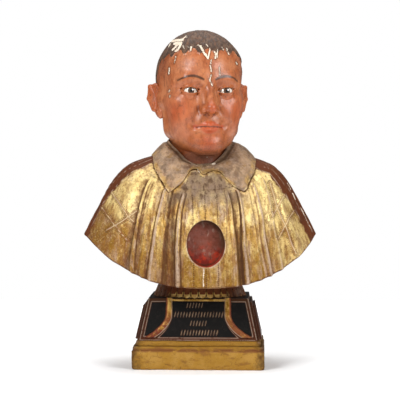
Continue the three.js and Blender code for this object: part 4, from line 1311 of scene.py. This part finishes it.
def flesh_material(c):
    """Oil paint on gesso, varnished: a glossy skin tone, matt strands of hair, bare white losses"""
    f = start("varnished oil paint on gesso")
    hair = f.ragged("hair", 0.3, 0.6, 4, 0.25)
    loss = f.ragged("loss", 0.3, -0.3, 3, 2.2)
    halo = f.ragged("loss", 2.6, 0.2, 3, 2)
    # Darker flesh in the hollows is painted shade with some dirt
    hollow = f.ragged("hollow", 0.03, 0.26, 5, 0.03)
    crest = f.ragged("crest", 0.10, 0.55, 5, 0.05)
    # The dust mark holds stubble, and low on the face a darkening that is beard tint and painted shade
    stubble = f.ragged("dust", 0.15, 0.95, 7, 0.3)
    # The valley mark on the head is a painted shadow on the neck below the chin
    neck = f.ragged("valley", 0.1, 1.0, 7, 0.15)
    # The brow mark holds painted brows and lid lines, and a dark line in the mouth's groove that is painted
    # shade
    brow = f.ragged("brow", 0.25, 0.8, 2, 0.25)
    lip, flush = [f.add("Attribute", out=2, attribute_name=mark) for mark in ("lip", "flush")]
    cloud = f.speckle(30, 0.38, 0.62)
    dab = f.speckle(12, 0.45, 0.68)
    glaze = f.speckle(8, 0.47, 0.66, (1, 1, 0.3))
    grime = f.speckle(4.5, 0.56, 0.68)
    strand = f.speckle(4.6, 0.42, 0.58, (1, 0.35, 0.35))
    fleck = f.speckle(4.2, 0.52, 0.64, (1, 0.35, 0.35))
    shaved = f.speckle(3, 0.46, 0.62)
    pin = f.speckle(2.2, 0.69, 0.73)
    skin = f.speckle(1.6, 0.3, 0.7)
    locks = f.coats(c.hair, [(strand, 0.75, c.hair_dark), (fleck, 0.5, c.bole)])
    ground = f.coats(c.flesh, [
        (cloud, 0.6, c.flesh_light), (dab, 0.4, c.flesh_dark), (flush, 0.8, c.flush),
        (crest, 0.4, c.flesh_light), (glaze, 0.6, c.flesh_dark), (hollow, 0.85, c.flesh_dark),
        (stubble, 0.7, c.flesh_dark), (f.times(stubble, shaved), 0.5, c.hair_dark), (grime, 0.5, c.patina),
        (neck, 0.4, c.patina), (lip, 0.75, c.flush), (brow, 0.85, c.hair_dark), (pin, 0.8, c.gesso),
        (hair, 1, locks), (halo, 0.6, c.patina), (loss, 1, c.gesso),
    ])
    rough = f.chain("ADD", f.add("MapRange", hair, 0, 1, 0.32, 0.68), f.times(loss, 0.4), f.times(dab, 0.12),
                    f.times(neck, 0.35))
    height = f.chain("ADD", f.times(strand, hair), f.times(skin, 0.1))
    height = f.add("Math", loss, -1, height, operation="MULTIPLY_ADD")
    return f.done(ground, rough, height, 0.6, 0.42)


# From one punched dot to the next, and from one row of dots on the orphrey to the next
DOT_STEP = 3.4
ROW_STEP = 10.6


def orphrey_dots(f, across):
    """Punched dots in rows down the orphrey's edges and middle, and the drawn line under each row"""
    up = f.add("SeparateXYZ", f.place, out=2)
    below_yoke = f.add("MapRange", f.add("Attribute", out=2, attribute_name="up"), 0.62, 0.60)
    step = f.add("Math", f.times(up, per(DOT_STEP)), 0.5, operation="PINGPONG")
    wide = f.add("Math", across, operation="ABSOLUTE")
    for _ in range(2):
        wide = f.add("Math", f.add("Math", wide, ROW_STEP, operation="SUBTRACT"), operation="ABSOLUTE")
    reach = f.add("VectorMath", f.add("CombineXYZ", f.times(step, DOT_STEP), wide), out=1, operation="LENGTH")
    return (f.times(f.add("MapRange", reach, 1.15, 0.7), below_yoke),
            f.times(f.add("MapRange", wide, 1.5, 0.9), below_yoke))


def lattice_dots(f):
    """Punched dots along one side of the shoulders' crossing lines"""
    along, gap = [f.add("Attribute", out=2, attribute_name=mark) for mark in ("punch", "lattice")]
    along = f.add("Math", along, DOT_STEP / 2, operation="PINGPONG")
    gap = f.add("Math", gap, 4.2, operation="SUBTRACT")
    reach = f.add("VectorMath", f.add("CombineXYZ", along, gap), out=1, operation="LENGTH")
    return f.add("MapRange", reach, 1.1, 0.7)


def gilt_material(c):
    """Water gilding on red bole, burnished and worn: metal on the folds, bare clay, dirt in hollows"""
    f = start("worn water gilding")
    back = f.ragged("gilt", 1.5, -1.5, 12, 5)
    loss = f.ragged("loss", 0.3, -0.3, 3, 1.6)
    # The valley mark is bole and dirt with painted shade in the folds' valleys, a painted shadow line under
    # each crest past 1, and a painted shadow along the collar's edge
    valley = f.ragged("valley", 0.42, 0.92, 10, 0.3)
    deep = f.ragged("valley", 0.72, 0.98, 5, 0.12)
    under = f.ragged("valley", 1.05, 1.4, 9, 0.35)
    ridge = f.ragged("ridge", 0.36, 0.78, 9, 0.4)
    hollow = f.ragged("hollow", 0.05, 0.35, 6, 0.05)
    crest = f.ragged("crest", 0.16, 0.5, 6, 0.08)
    lattice = f.ragged("lattice", 1.4, 0.7, 5, 0.6)
    # A painted shadow beside each raised crossing line
    painted_lattice_shadow = f.ragged("lattice", 4.0, 1.6, 6, 1.0)
    dust = f.ragged("dust", 0.25, 0.95, 14, 0.35)
    # Lighter gold on the shoulders and on the right side is a painted highlight; the lower cape turns darker
    # and redder towards the bottom, most at its left side
    low = f.ragged("up", 0.42, 0.02, 22, 0.22)
    beyond = f.ragged("gilt", 38, 24, 20, 5)
    shoulder = f.times(beyond, f.ragged("up", 0.16, 0.28, 20, 0.08))
    low = f.times(low, f.add("MapRange", shoulder, 0, 1, 1, 0.4))
    torn = f.speckle(5, 0.38, 0.56, (1, 1, 0.2))
    valley = f.times(valley, f.add("MapRange", torn, 0, 1, 0.5, 1))
    broken = f.speckle(12, 0.38, 0.56, (1, 1, 0.35))
    ridge = f.times(ridge, f.add("MapRange", broken, 0, 1, 0.35, 1))
    cloud = f.speckle(30, 0.42, 0.60)
    tarnish = f.speckle(17, 0.44, 0.60, (1, 1, 0.4))
    streak = f.speckle(9, 0.50, 0.62, (1, 1, 0.2))
    rub = f.speckle(7, 0.56, 0.64, (1, 1, 0.6))
    bloom = f.speckle(24, 0.52, 0.68, (1, 1, 0.35))
    smear = f.speckle(11, 0.50, 0.64, (1, 1, 0.14))
    grain = f.speckle(3.2, 0.48, 0.66)
    fleck = f.speckle(4.2, 0.54, 0.66)
    pits = f.speckle(3.4, 0.61, 0.67)
    across = f.add("Attribute", out=2, attribute_name="across")
    dot, line = orphrey_dots(f, across)
    dot = f.chain("MAXIMUM", dot, f.times(lattice_dots(f), 0.8))
    left = f.add("MapRange", across, -60, -110)
    right = f.add("MapRange", across, 50, 100)
    gold = f.coats(c.gold, [
        (cloud, 0.75, c.gold_light), (shoulder, 0.65, c.gold_light), (low, 0.9, c.gold_dark),
        (f.times(low, tarnish), 0.5, c.bole), (f.times(low, beyond, left), 0.55, c.bole),
        (f.times(beyond, right), 0.4, c.gold_light),
    ])
    tarnish = f.times(tarnish, f.add("MapRange", shoulder, 0, 1, 0.75, 0.4))
    bared = f.chain("MAXIMUM", f.times(valley, 0.9), f.times(streak, 0.55), f.times(rub, 0.65))
    brown = f.coats(c.back, [
        (bloom, 0.35, c.bole), (tarnish, 0.6, c.patina), (rub, 0.2, c.dust), (ridge, 0.6, c.worn),
    ])
    ground = f.coats(gold, [
        (tarnish, 1, c.gold_dark), (fleck, 0.25, c.gold_light), (bloom, 0.35, c.worn),
        (f.times(smear, f.add("MapRange", beyond, 0, 1, 0.6, 0.15)), 1, c.worn), (bared, 0.9, c.bole),
        (f.times(valley, torn), 0.45, c.back), (line, 0.3, c.bole), (dust, 0.85, c.dust),
        (f.times(dust, streak), 0.6, c.patina), (deep, 0.6, c.patina), (under, 0.6, c.patina),
        (hollow, 0.7, c.patina), (painted_lattice_shadow, 0.6, c.bole), (ridge, 0.8, c.worn), (crest, 0.45, c.worn),
        (lattice, 0.55, c.worn), (f.times(lattice, broken), 0.3, c.gold_light), (grain, 0.34, c.patina),
        (dot, 0.75, c.patina), (pits, 0.7, c.patina), (back, 1, brown), (loss, 1, c.gesso),
    ])
    bare = f.chain("MAXIMUM", bared, deep, dust, back, loss, f.times(ridge, 0.9), f.times(crest, 0.6),
                   f.times(lattice, 0.7), f.times(bloom, 0.6), f.times(smear, 0.5), pits)
    metal = f.add("MapRange", bare, 0, 1, 0.30, 0.02)
    rough = f.add("MapRange", bare, 0, 1, 0.46, 0.62)
    height = f.times(f.chain("ADD", dot, f.times(rub, 0.4)), -1)
    height = f.chain("ADD", height, f.times(loss, -0.8), f.times(pits, -0.3), f.times(tarnish, -0.35))
    return f.done(ground, rough, height, 0.5, 0.1, metal)


def collar_material(c):
    """Silver leaf under a yellowed varnish, rubbed to a greyed tan, with gold left along its edges"""
    f = start("greyed varnished silver leaf")
    loss = f.ragged("loss", 0.3, -0.3, 6, 1.2)
    hollow = f.ragged("hollow", 0.04, 0.30, 6, 0.05)
    crest = f.ragged("crest", 0.08, 0.35, 7, 0.08)
    edge = f.ragged("ridge", 0.25, 0.80, 9, 0.25)
    brink = f.times(f.ragged("ridge", 0.90, 0.99, 5, 0.06), f.speckle(9, 0.48, 0.62))
    # The groove where the collar turns down is darkened as painted shade
    groove = f.ragged("valley", 0.25, 0.85, 4, 0.15)
    cloud = f.speckle(24, 0.42, 0.60)
    gold = f.times(f.speckle(20, 0.44, 0.60), edge)
    streak = f.speckle(12, 0.48, 0.66, (1, 1, 0.35))
    tint = f.speckle(15, 0.52, 0.68)
    veil = f.speckle(34, 0.46, 0.60, (1, 1, 0.6))
    # The collar darkens towards its right side
    right = f.add("MapRange", f.add("SeparateXYZ", f.place), 20 * MM, 70 * MM)
    stain = f.speckle(17, 0.54, 0.66, (1, 1, 0.3))
    mottle = f.speckle(5, 0.48, 0.64)
    scratch = f.speckle(8, 0.62, 0.68, (0.3, 1, 1))
    pits = f.speckle(3.2, 0.60, 0.67)
    ground = f.coats(c.collar, [
        (cloud, 0.65, c.dust), (tint, 0.5, c.gold_dark), (veil, 0.3, c.back), (right, 0.2, c.patina),
        (stain, 0.5, c.bole), (mottle, 0.35, c.worn), (gold, 0.65, c.gold), (streak, 0.45, c.patina),
        (hollow, 0.85, c.patina), (crest, 0.45, c.worn), (brink, 0.45, c.gold_light),
        (groove, 0.75, c.patina), (scratch, 0.5, c.patina), (pits, 0.5, c.patina), (loss, 1, c.gesso),
    ])
    metal = f.add("MapRange", gold, 0, 1, 0.15, 0.55)
    height = f.times(f.chain("ADD", pits, f.times(streak, 0.8)), -1)
    return f.done(ground, 0.5, height, 0.7, 0.15, metal)


# How far to the side the recess's middle stands, now that the bust is turned
RECESS_ACROSS = 12.7


def recess_material(c, s):
    """Red distemper in the relic recess: matt, scuffed to grey-brown and darkened with painted shade high on
    its floor
    """
    f = start("scuffed red distemper")
    width, height = s["recess_width"] / 2, s["recess_height"] / 2
    middle = SEAT + s["recess_place"]
    hollow = f.ragged("hollow", 0.05, 0.3, 6, 0.05)
    crest = f.ragged("crest", 0.08, 0.4, 5, 0.05)
    up = f.add("SeparateXYZ", f.place, out=2)
    # The upper part of the floor is scuffed grey-brown and darkened as painted shade from the rim above
    high = f.add("Math", f.speckle(16, 0.25, 0.75), 30 * MM, up, operation="MULTIPLY_ADD")
    high = f.add("MapRange", high, (middle - 11) * MM, (middle + 13) * MM)
    fresh = f.speckle(12, 0.42, 0.60)
    scratch = f.speckle(5, 0.55, 0.68)
    pale = f.times(high, f.speckle(7, 0.54, 0.70, (1, 1, 0.5)))
    # The rim's shade lies on the floor's upper right
    centred = f.add("Mapping", {"Vector": f.place, "Location": (-RECESS_ACROSS / width, 0, -middle / height),
                                "Scale": (per(width), 0, per(height))})
    reach = f.add("VectorMath", centred, out=1, operation="LENGTH")
    reach = f.add("MapRange", reach, 0.55, 0.98, interpolation_type="SMOOTHSTEP")
    corner = f.add("VectorMath", centred, (0.75, 0, 0.65), out=1, operation="DOT_PRODUCT")
    corner = f.add("MapRange", corner, -0.1, 0.8, interpolation_type="SMOOTHSTEP")
    ground = f.coats(c.recess, [
        (fresh, 0.85, c.recess_light), (high, 0.6, c.dust), (high, 0.3, c.recess), (pale, 0.5, c.worn),
        (f.times(reach, corner), 0.75, c.patina), (f.times(high, fresh), 0.5, c.patina),
        (scratch, 0.4, c.patina), (hollow, 0.8, c.patina), (crest, 0.7, c.worn),
    ])
    return f.done(ground, 0.6, scratch, 0.4, 0.15)


def slab_material(c, s):
    """Water gilding on the plinth's boards: yellow leaf worn to bole on edges, pitted, grimy at the ends"""
    f = start("pitted water gilding")
    half, top = s["slab_width"] / 2, s["slab_height"]
    crest = f.ragged("crest", 0.08, 0.35, 7, 0.08)
    hollow = f.ragged("hollow", 0.05, 0.30, 6, 0.05)
    cloud = f.speckle(20, 0.42, 0.62)
    tarnish = f.speckle(9, 0.48, 0.66, (0.4, 1, 1))
    pits = f.speckle(2.4, 0.58, 0.68)
    rub = f.speckle(9, 0.56, 0.68, (0.4, 1, 1))
    x, z = [f.add("SeparateXYZ", f.place, out=k) for k in (0, 2)]
    ends = f.add("Math", f.speckle(12, 0.25, 0.75), 16 * MM, f.add("Math", x, operation="ABSOLUTE"),
                 operation="MULTIPLY_ADD")
    ends = f.add("MapRange", ends, (half - 10) * MM, (half + 5) * MM)
    steps = f.add("MapRange", z, (top - 1) * MM, (top + 1) * MM)
    lip = f.add("Math", f.add("Math", z, (top + 0.5) * MM, operation="SUBTRACT"), operation="ABSOLUTE")
    lip = f.times(f.add("MapRange", lip, 4.5 * MM, 1.8 * MM), f.speckle(8, 0.36, 0.50, (0.5, 1, 1)))
    ground = f.coats(c.slab, [
        (cloud, 0.35, c.gold), (tarnish, 0.5, c.gold_dark), (steps, 0.6, c.gold_dark), (rub, 0.55, c.bole),
        (pits, 0.6, c.patina), (crest, 0.5, c.bole), (f.times(crest, steps), 0.35, c.worn),
        (hollow, 0.85, c.patina), (lip, 0.85, c.bole), (ends, 0.75, c.patina),
    ])
    bare = f.chain("MAXIMUM", rub, f.times(crest, 0.8), hollow, lip, ends, pits, f.times(tarnish, 0.5))
    metal = f.add("MapRange", bare, 0, 1, 0.6, 0.03)
    rough = f.add("MapRange", bare, 0, 1, 0.45, 0.7)
    height = f.chain("ADD", f.times(pits, -1), f.times(tarnish, -0.4))
    return f.done(ground, rough, height, 0.35, 0.15, metal)


def face_material(c, s):
    """Black and brown oil paint on the block, semi-gloss, with thin rubbed gold lines"""
    f = start("black and brown oil paint")
    base = Slope(s).base
    black = f.ragged("black", -0.4, 0.4, 4, 0.35)
    lines = []
    for mark, place, wide, full in (("black", -1.6, 0.9, 0.45), ("frame", 1.2, 1.0, 0.5)):
        away = f.add("Math", f.add("Attribute", out=2, attribute_name=mark), place, operation="SUBTRACT")
        lines.append(f.add("MapRange", f.add("Math", away, operation="ABSOLUTE"), wide, full))
    line = f.times(f.chain("MAXIMUM", *lines), f.speckle(7, 0.30, 0.50))
    scratch = f.ragged("loss", 0.3, -0.2, 5, 0.3)
    crest = f.ragged("crest", 0.10, 0.45, 7, 0.08)
    hollow = f.ragged("hollow", 0.05, 0.30, 6, 0.05)
    rub = f.speckle(12, 0.42, 0.70)
    grime = f.speckle(5, 0.50, 0.72)
    z = f.add("SeparateXYZ", f.place, out=2)
    # The brown darkens towards the top of the block and lightens at its foot
    top = f.add("MapRange", z, (base + 35) * MM, (base + 68) * MM)
    foot = f.add("MapRange", z, (base + 6) * MM, base * MM)
    brown = f.coats(c.frame, [
        (rub, 0.3, c.back), (foot, 0.7, c.back), (grime, 0.4, c.patina), (top, 0.75, c.patina),
    ])
    ground = f.coats(brown, [
        (black, 1, c.black), (scratch, 0.25, c.dust), (grime, 0.03, c.dust), (line, 0.45, c.worn),
        (crest, 0.4, c.worn), (hollow, 0.6, c.patina),
    ])
    rough = f.add("MapRange", grime, 0, 1, 0.45, 0.6)
    return f.done(ground, rough, f.chain("ADD", line, f.times(grime, 0.3)), 0.3, 0.12)


def band_material(c, s):
    """Gilt carved bands, rubbed down to red bole towards the foot and along their outer edge"""
    f = start("rubbed gilding on bole")
    base = Slope(s).base
    foot = f.add("MapRange", f.add("SeparateXYZ", f.place, out=2), (base + 55) * MM, (base + 30) * MM)
    side, across = [f.add("Attribute", out=2, attribute_name=mark) for mark in ("step", "band")]
    left = f.add("MapRange", side, 1, -1, 0.75, 1)
    outer = f.add("MapRange", across, 0.35, 0.75)
    inner = f.add("MapRange", across, -0.68, -0.84)
    bole = f.chain("MAXIMUM", f.times(f.speckle(11, 0.30, 0.52), foot, left), f.times(outer, 0.9))
    rub = f.speckle(5, 0.55, 0.70)
    leaf = f.speckle(8, 0.36, 0.56)
    ground = f.coats(c.gold_dark, [
        (leaf, 0.9, c.gold), (bole, 1, c.recess), (bole, 0.45, c.bole), (bole, 0.35, c.frame),
        (rub, 0.6, c.patina), (inner, 0.7, c.worn),
    ])
    return f.done(ground, 0.45, rub, 0.3, 0.15, f.add("MapRange", bole, 0, 1, 0.75, 0.05))


def leaf_material(c, s):
    """Brown varnished leaves with gilt tips in front, greyed where hands have worn the ends"""
    f = start("varnished and gilt carving")
    half = s["leaf_width"] / 2
    tip = f.ragged("tip", 0.15, 0.6, 5, 0.15)
    hollow = f.ragged("hollow", 0.06, 0.35, 5, 0.05)
    crest = f.ragged("crest", 0.12, 0.5, 5, 0.08)
    rub = f.speckle(8, 0.45, 0.68)
    x, y = [f.add("SeparateXYZ", f.place, out=k) for k in (0, 1)]
    x = f.add("Math", x, operation="ABSOLUTE")
    ends = f.add("MapRange", x, (half - 20.5) * MM, (half - 8.5) * MM)
    ends = f.times(ends, f.speckle(9, 0.35, 0.6))
    front = f.add("MapRange", y, 0, -20 * MM)
    gilt = f.add("MapRange", x, (half - 22.5) * MM, (half - 34.5) * MM)
    tip = f.times(tip, front, gilt)
    # The leaves' upper parts keep the brown ground, which is brown paint and painted shade under the cape's
    # hem
    ground = f.coats(c.back, [
        (rub, 0.6, c.bole), (tip, 0.95, c.gold), (f.times(tip, rub), 0.5, c.gold_light), (crest, 0.4, c.gold),
        (hollow, 0.9, c.patina), (ends, 0.6, c.dust),
    ])
    return f.done(ground, 0.5, rub, 0.3, 0.15, f.times(tip, 0.6))


def stroke_material(c):
    """Shell gold brushed on black, dulled and half rubbed away"""
    f = start("dulled shell gold")
    rub = f.speckle(7, 0.35, 0.70)
    ground = f.coats(c.dust, [(0.25, 1, c.gold_dark), (rub, 0.75, c.black)])
    return f.done(ground, 0.55, rub, 0.2, metal=0.2)


EYE_WHITE, EYE_VEIN = linear("#ddd6ca"), linear("#c4b3a0")
IRIS, IRIS_FLECK, IRIS_RING, PUPIL = [linear(code) for code in ("#4a2a14", "#6b431f", "#120a06", "#050403")]
PUPIL_RADIUS = 2.5


def eye_material(s):
    """Glass over a painted white, with a ringed brown iris: bright and wet against the matt paint"""
    f = start("blown glass eye")
    gaze = f.add("Attribute", out=2, attribute_name="gaze")
    radius = s["iris_radius"]
    iris = f.add("MapRange", gaze, radius + 0.25, radius - 0.25)
    ring = f.add("MapRange", gaze, radius - 1.6, radius - 0.4)
    pupil = f.add("MapRange", gaze, PUPIL_RADIUS + 0.2, PUPIL_RADIUS - 0.2)
    fleck = f.speckle(1.2, 0.35, 0.7)
    vein = f.speckle(7, 0.4, 0.7)
    brown = f.coats(IRIS, [(fleck, 0.5, IRIS_FLECK), (ring, 1, IRIS_RING)])
    ground = f.coats(EYE_WHITE, [(vein, 0.35, EYE_VEIN), (iris, 1, brown), (pupil, 1, PUPIL)])
    f.add("OutputMaterial", f.add("BsdfPrincipled", {
        "Base Color": ground, "Roughness": 0.08, "Coat Weight": 1, "Coat Roughness": 0.02,
    }))
    return f.owner


class BUST_OT_bust(bpy.types.Operator):
    """Carves the bust: cape, collar, head and relic recess in one piece"""
    bl_idname = "bust.bust"
    bl_label = "Bust"

    def execute(self, context):
        s = sizes_of(context.scene.bust_sizes)
        c = context.scene.bust_finishes
        finishes = [flesh_material(c), gilt_material(c), collar_material(c), recess_material(c, s)]
        bust = cape_piece(s, finishes)
        carve(bust, collar_piece(s, finishes))
        head = head_piece(s, finishes)
        for side in (-1, 1):
            carve(head, ear_piece(s, side, finishes))
            socket = eye_rings(side, s["eye_diameter"] / 2 + 0.3, s)
            carve(head, wrap("socket", socket, 0, finishes), "DIFFERENCE")
            carve(head, lid_cut(s, side, finishes), "DIFFERENCE")
        carve(bust, head)
        carve(bust, recess_cut(s, finishes), "DIFFERENCE")
        bust.name = bust.data.name = "carved_bust"
        settle_marks(bust)
        settle(bust, ["bust"])
        return {"FINISHED"}


class BUST_OT_plinth(bpy.types.Operator):
    """Builds the plinth: slab, stepped moulding, sloping block, bands and leaf collar in one piece"""
    bl_idname = "bust.plinth"
    bl_label = "Plinth"

    def execute(self, context):
        s = sizes_of(context.scene.plinth_sizes)
        c = context.scene.bust_finishes
        finishes = [slab_material(c, s), face_material(c, s), band_material(c, s), leaf_material(c, s),
                    stroke_material(c)]
        slope = Slope(s)
        base, wear = s["slab_height"], s["edge_wear"]
        plinth = wrap("slab", board_rings(s["slab_width"], s["slab_depth"], 0, base, s), 0, finishes)
        for width, height in ((s["lower_width"], s["lower_step"]), (s["upper_width"], s["upper_step"])):
            depth = width - (s["slab_width"] - s["slab_depth"])
            rings = board_rings(width, depth, base - wear, height + wear, s)
            carve(plinth, wrap("step", rings, 0, finishes))
            base += height
        carve(plinth, block_piece(s, finishes))
        margin, rise = s["panel_margin"], s["panel_rise"]
        for side in (-1, 1):
            for step in (1, 2):
                outline = slope.outline(slope.half_depth, margin * step)
                carve(plinth, wrap("plate", slope.plate(outline, rise * step, side * 90), 1, finishes))
            carve(plinth, band_piece(side, s, finishes))
        outline = slope.outline(slope.half, margin * 2)
        carve(plinth, wrap("plate", slope.plate(outline, rise, 180), 1, finishes))
        half = s["band_offset"] - s["band_width"] / 2 + 1
        top = slope.length - 2
        outline = np.array([[-half, top - 4], [half, top - 4], [half, top], [-half, top]], float)
        carve(plinth, wrap("fillet", slope.plate(outline, s["band_rise"] / 2, 0, 0.6), 2, finishes))
        carve(plinth, leaf_piece(s, finishes))
        dice = np.random.default_rng(9)
        for middle, up, count in STROKE_ROWS:
            for k in range(count):
                x = middle + (k - (count - 1) / 2) * STROKE_STEP
                carve(plinth, stroke_piece(x, up / math.cos(slope.angle), dice, s, finishes))
        plinth.name = plinth.data.name = "carved_plinth"
        settle_marks(plinth)
        settle(plinth, ["plinth"], 35)
        return {"FINISHED"}


class BUST_OT_eyes(bpy.types.Operator):
    """Blows the two glass eyes"""
    bl_idname = "bust.eyes"
    bl_label = "Glass eyes"

    def execute(self, context):
        s = sizes_of(context.scene.bust_sizes)
        material = eye_material(s)
        for name, side in (("left_eye", 1), ("right_eye", -1)):
            radius = s["eye_diameter"] / 2
            eye = wrap(f"glass_{name}", eye_rings(side, radius, s), 0, [material])
            # The gaze mark is how far each point of the front half lies from the line of sight
            middle = placed_head(np.array([EYE_PLACE]) * [side, 1, 1], s)[0]
            sight = turned(np.array([[0, -1.0, 0]]), s["torso_turn"] + s["head_turn"])[0]
            ray = vectors(eye.data.vertices, "co") / MM - middle
            ahead = ray @ sight
            aside = np.sqrt(np.clip((ray * ray).sum(1) - ahead ** 2, 0, None))
            write(eye, "gaze", np.where(ahead > 0, aside, radius))
            settle(eye, [name])
        return {"FINISHED"}


# In metres the floor's width and where on it the glow begins and is full, then how strong the glow is and
# how bright the room, in front of the bust and behind it. Softboxes: name, place, width and watts.
WHITE = (1, 1, 1, 1)
FLOOR_WIDTH = 2.2
GLOW_FROM_TO = (0.35, 1)
GLOW = 0.7
ROOM_LIGHT = (0.36, 0.18)
SOFTBOXES = [("left", (-1.2, -1.5, 1.4), 0.8, 37), ("right", (1.4, -1.2, 1.1), 0.8, 27),
             ("top", (0, 0.35, 1.9), 1.4, 26)]
LAMP_AIM = Vector((0, 0, 0.33))
LENS_MM = 119.7


class BUST_OT_stage(bpy.types.Operator):
    """Sets out the pale floor, the soft lights and the camera"""
    bl_idname = "bust.stage"
    bl_label = "Stage"

    def execute(self, context):
        bpy.ops.object.select_all(action="DESELECT")
        bpy.ops.mesh.primitive_plane_add(size=FLOOR_WIDTH)
        floor = context.active_object
        floor.name = "floor"
        # The paper glows a little away from the bust, so it meets the backdrop without a line
        paper = Finish(bpy.data.materials.new("matt studio paper"))
        sockets = paper.tree.nodes["Principled BSDF"].inputs
        sockets["Base Color"].default_value = (*context.scene.bust_finishes.floor, 1)
        sockets["Roughness"].default_value = 0.9
        sockets["Emission Color"].default_value = WHITE
        reach = paper.add("VectorMath", paper.add("TexCoord", out=3), out=1, operation="LENGTH")
        glow = paper.add("MapRange", reach, *GLOW_FROM_TO, 0, GLOW, interpolation_type="SMOOTHSTEP")
        paper.tree.links.new(glow, sockets["Emission Strength"])
        floor.data.materials.append(paper.owner)
        # A dim room lights the bust, brighter in front of it, and a white backdrop is seen behind it
        room = Finish(bpy.data.worlds.new("studio"))
        sockets = room.tree.nodes["Background"].inputs
        ahead = room.add("SeparateXYZ", room.add("TexCoord"), out=1)
        light = room.add("MapRange", ahead, -0.3, 0.5, *ROOM_LIGHT)
        light = room.chain("MAXIMUM", room.add("LightPath"), light)
        room.tree.links.new(light, sockets["Strength"])
        sockets["Color"].default_value = WHITE
        context.scene.world = room.owner
        for name, where, size, power in SOFTBOXES:
            bpy.ops.object.light_add(type="AREA", location=where)
            lamp = context.active_object
            lamp.name = f"{name} softbox"
            lamp.data.size = size
            lamp.data.energy = power
            lamp.rotation_euler = (LAMP_AIM - Vector(where)).to_track_quat("-Z", "Y").to_euler()
        target = Vector((0, 0, MIDDLE_HEIGHT * MM))
        back = Vector((math.sin(VIEW_TURN) * math.cos(VIEW_RISE), -math.cos(VIEW_TURN) * math.cos(VIEW_RISE),
                       math.sin(VIEW_RISE)))
        bpy.ops.object.camera_add(location=target + back * CAMERA_DISTANCE * MM)
        camera = context.active_object
        camera.rotation_euler = (-back).to_track_quat("-Z", "Y").to_euler()
        camera.data.lens = LENS_MM
        context.scene.camera = camera
        context.scene.view_settings.view_transform = "Standard"
        return {"FINISHED"}


class BUST_PT_panel(bpy.types.Panel):
    """Lists the sizes, the finishes and the pieces"""
    bl_idname = "BUST_PT_panel"
    bl_label = "Reliquary bust"
    bl_space_type = "VIEW_3D"
    bl_region_type = "UI"
    bl_category = "Reliquary bust"

    def draw(self, context):
        for operator in OPERATORS:
            self.layout.operator(operator.bl_idname)
        for group in (context.scene.bust_sizes, context.scene.plinth_sizes, context.scene.bust_finishes):
            for key in group.__annotations__:
                self.layout.prop(group, key)


OPERATORS = [BUST_OT_bust, BUST_OT_plinth, BUST_OT_eyes, BUST_OT_stage]
CLASSES = [BustSizes, PlinthSizes, Finishes, *OPERATORS, BUST_PT_panel]


def register():
    """Adds the sizes, the finishes, the operators and the panel to Blender"""
    for item in CLASSES:
        bpy.utils.register_class(item)
    bpy.types.Scene.bust_sizes = PointerProperty(type=BustSizes)
    bpy.types.Scene.plinth_sizes = PointerProperty(type=PlinthSizes)
    bpy.types.Scene.bust_finishes = PointerProperty(type=Finishes)


def unregister():
    """Takes them out again"""
    del bpy.types.Scene.bust_sizes
    del bpy.types.Scene.plinth_sizes
    del bpy.types.Scene.bust_finishes
    for item in reversed(CLASSES):
        bpy.utils.unregister_class(item)


def main():
    """Builds every piece and the stage"""
    register()
    bpy.ops.bust.bust()
    bpy.ops.bust.plinth()
    bpy.ops.bust.eyes()
    bpy.ops.bust.stage()


if __name__ == "__main__":
    main()
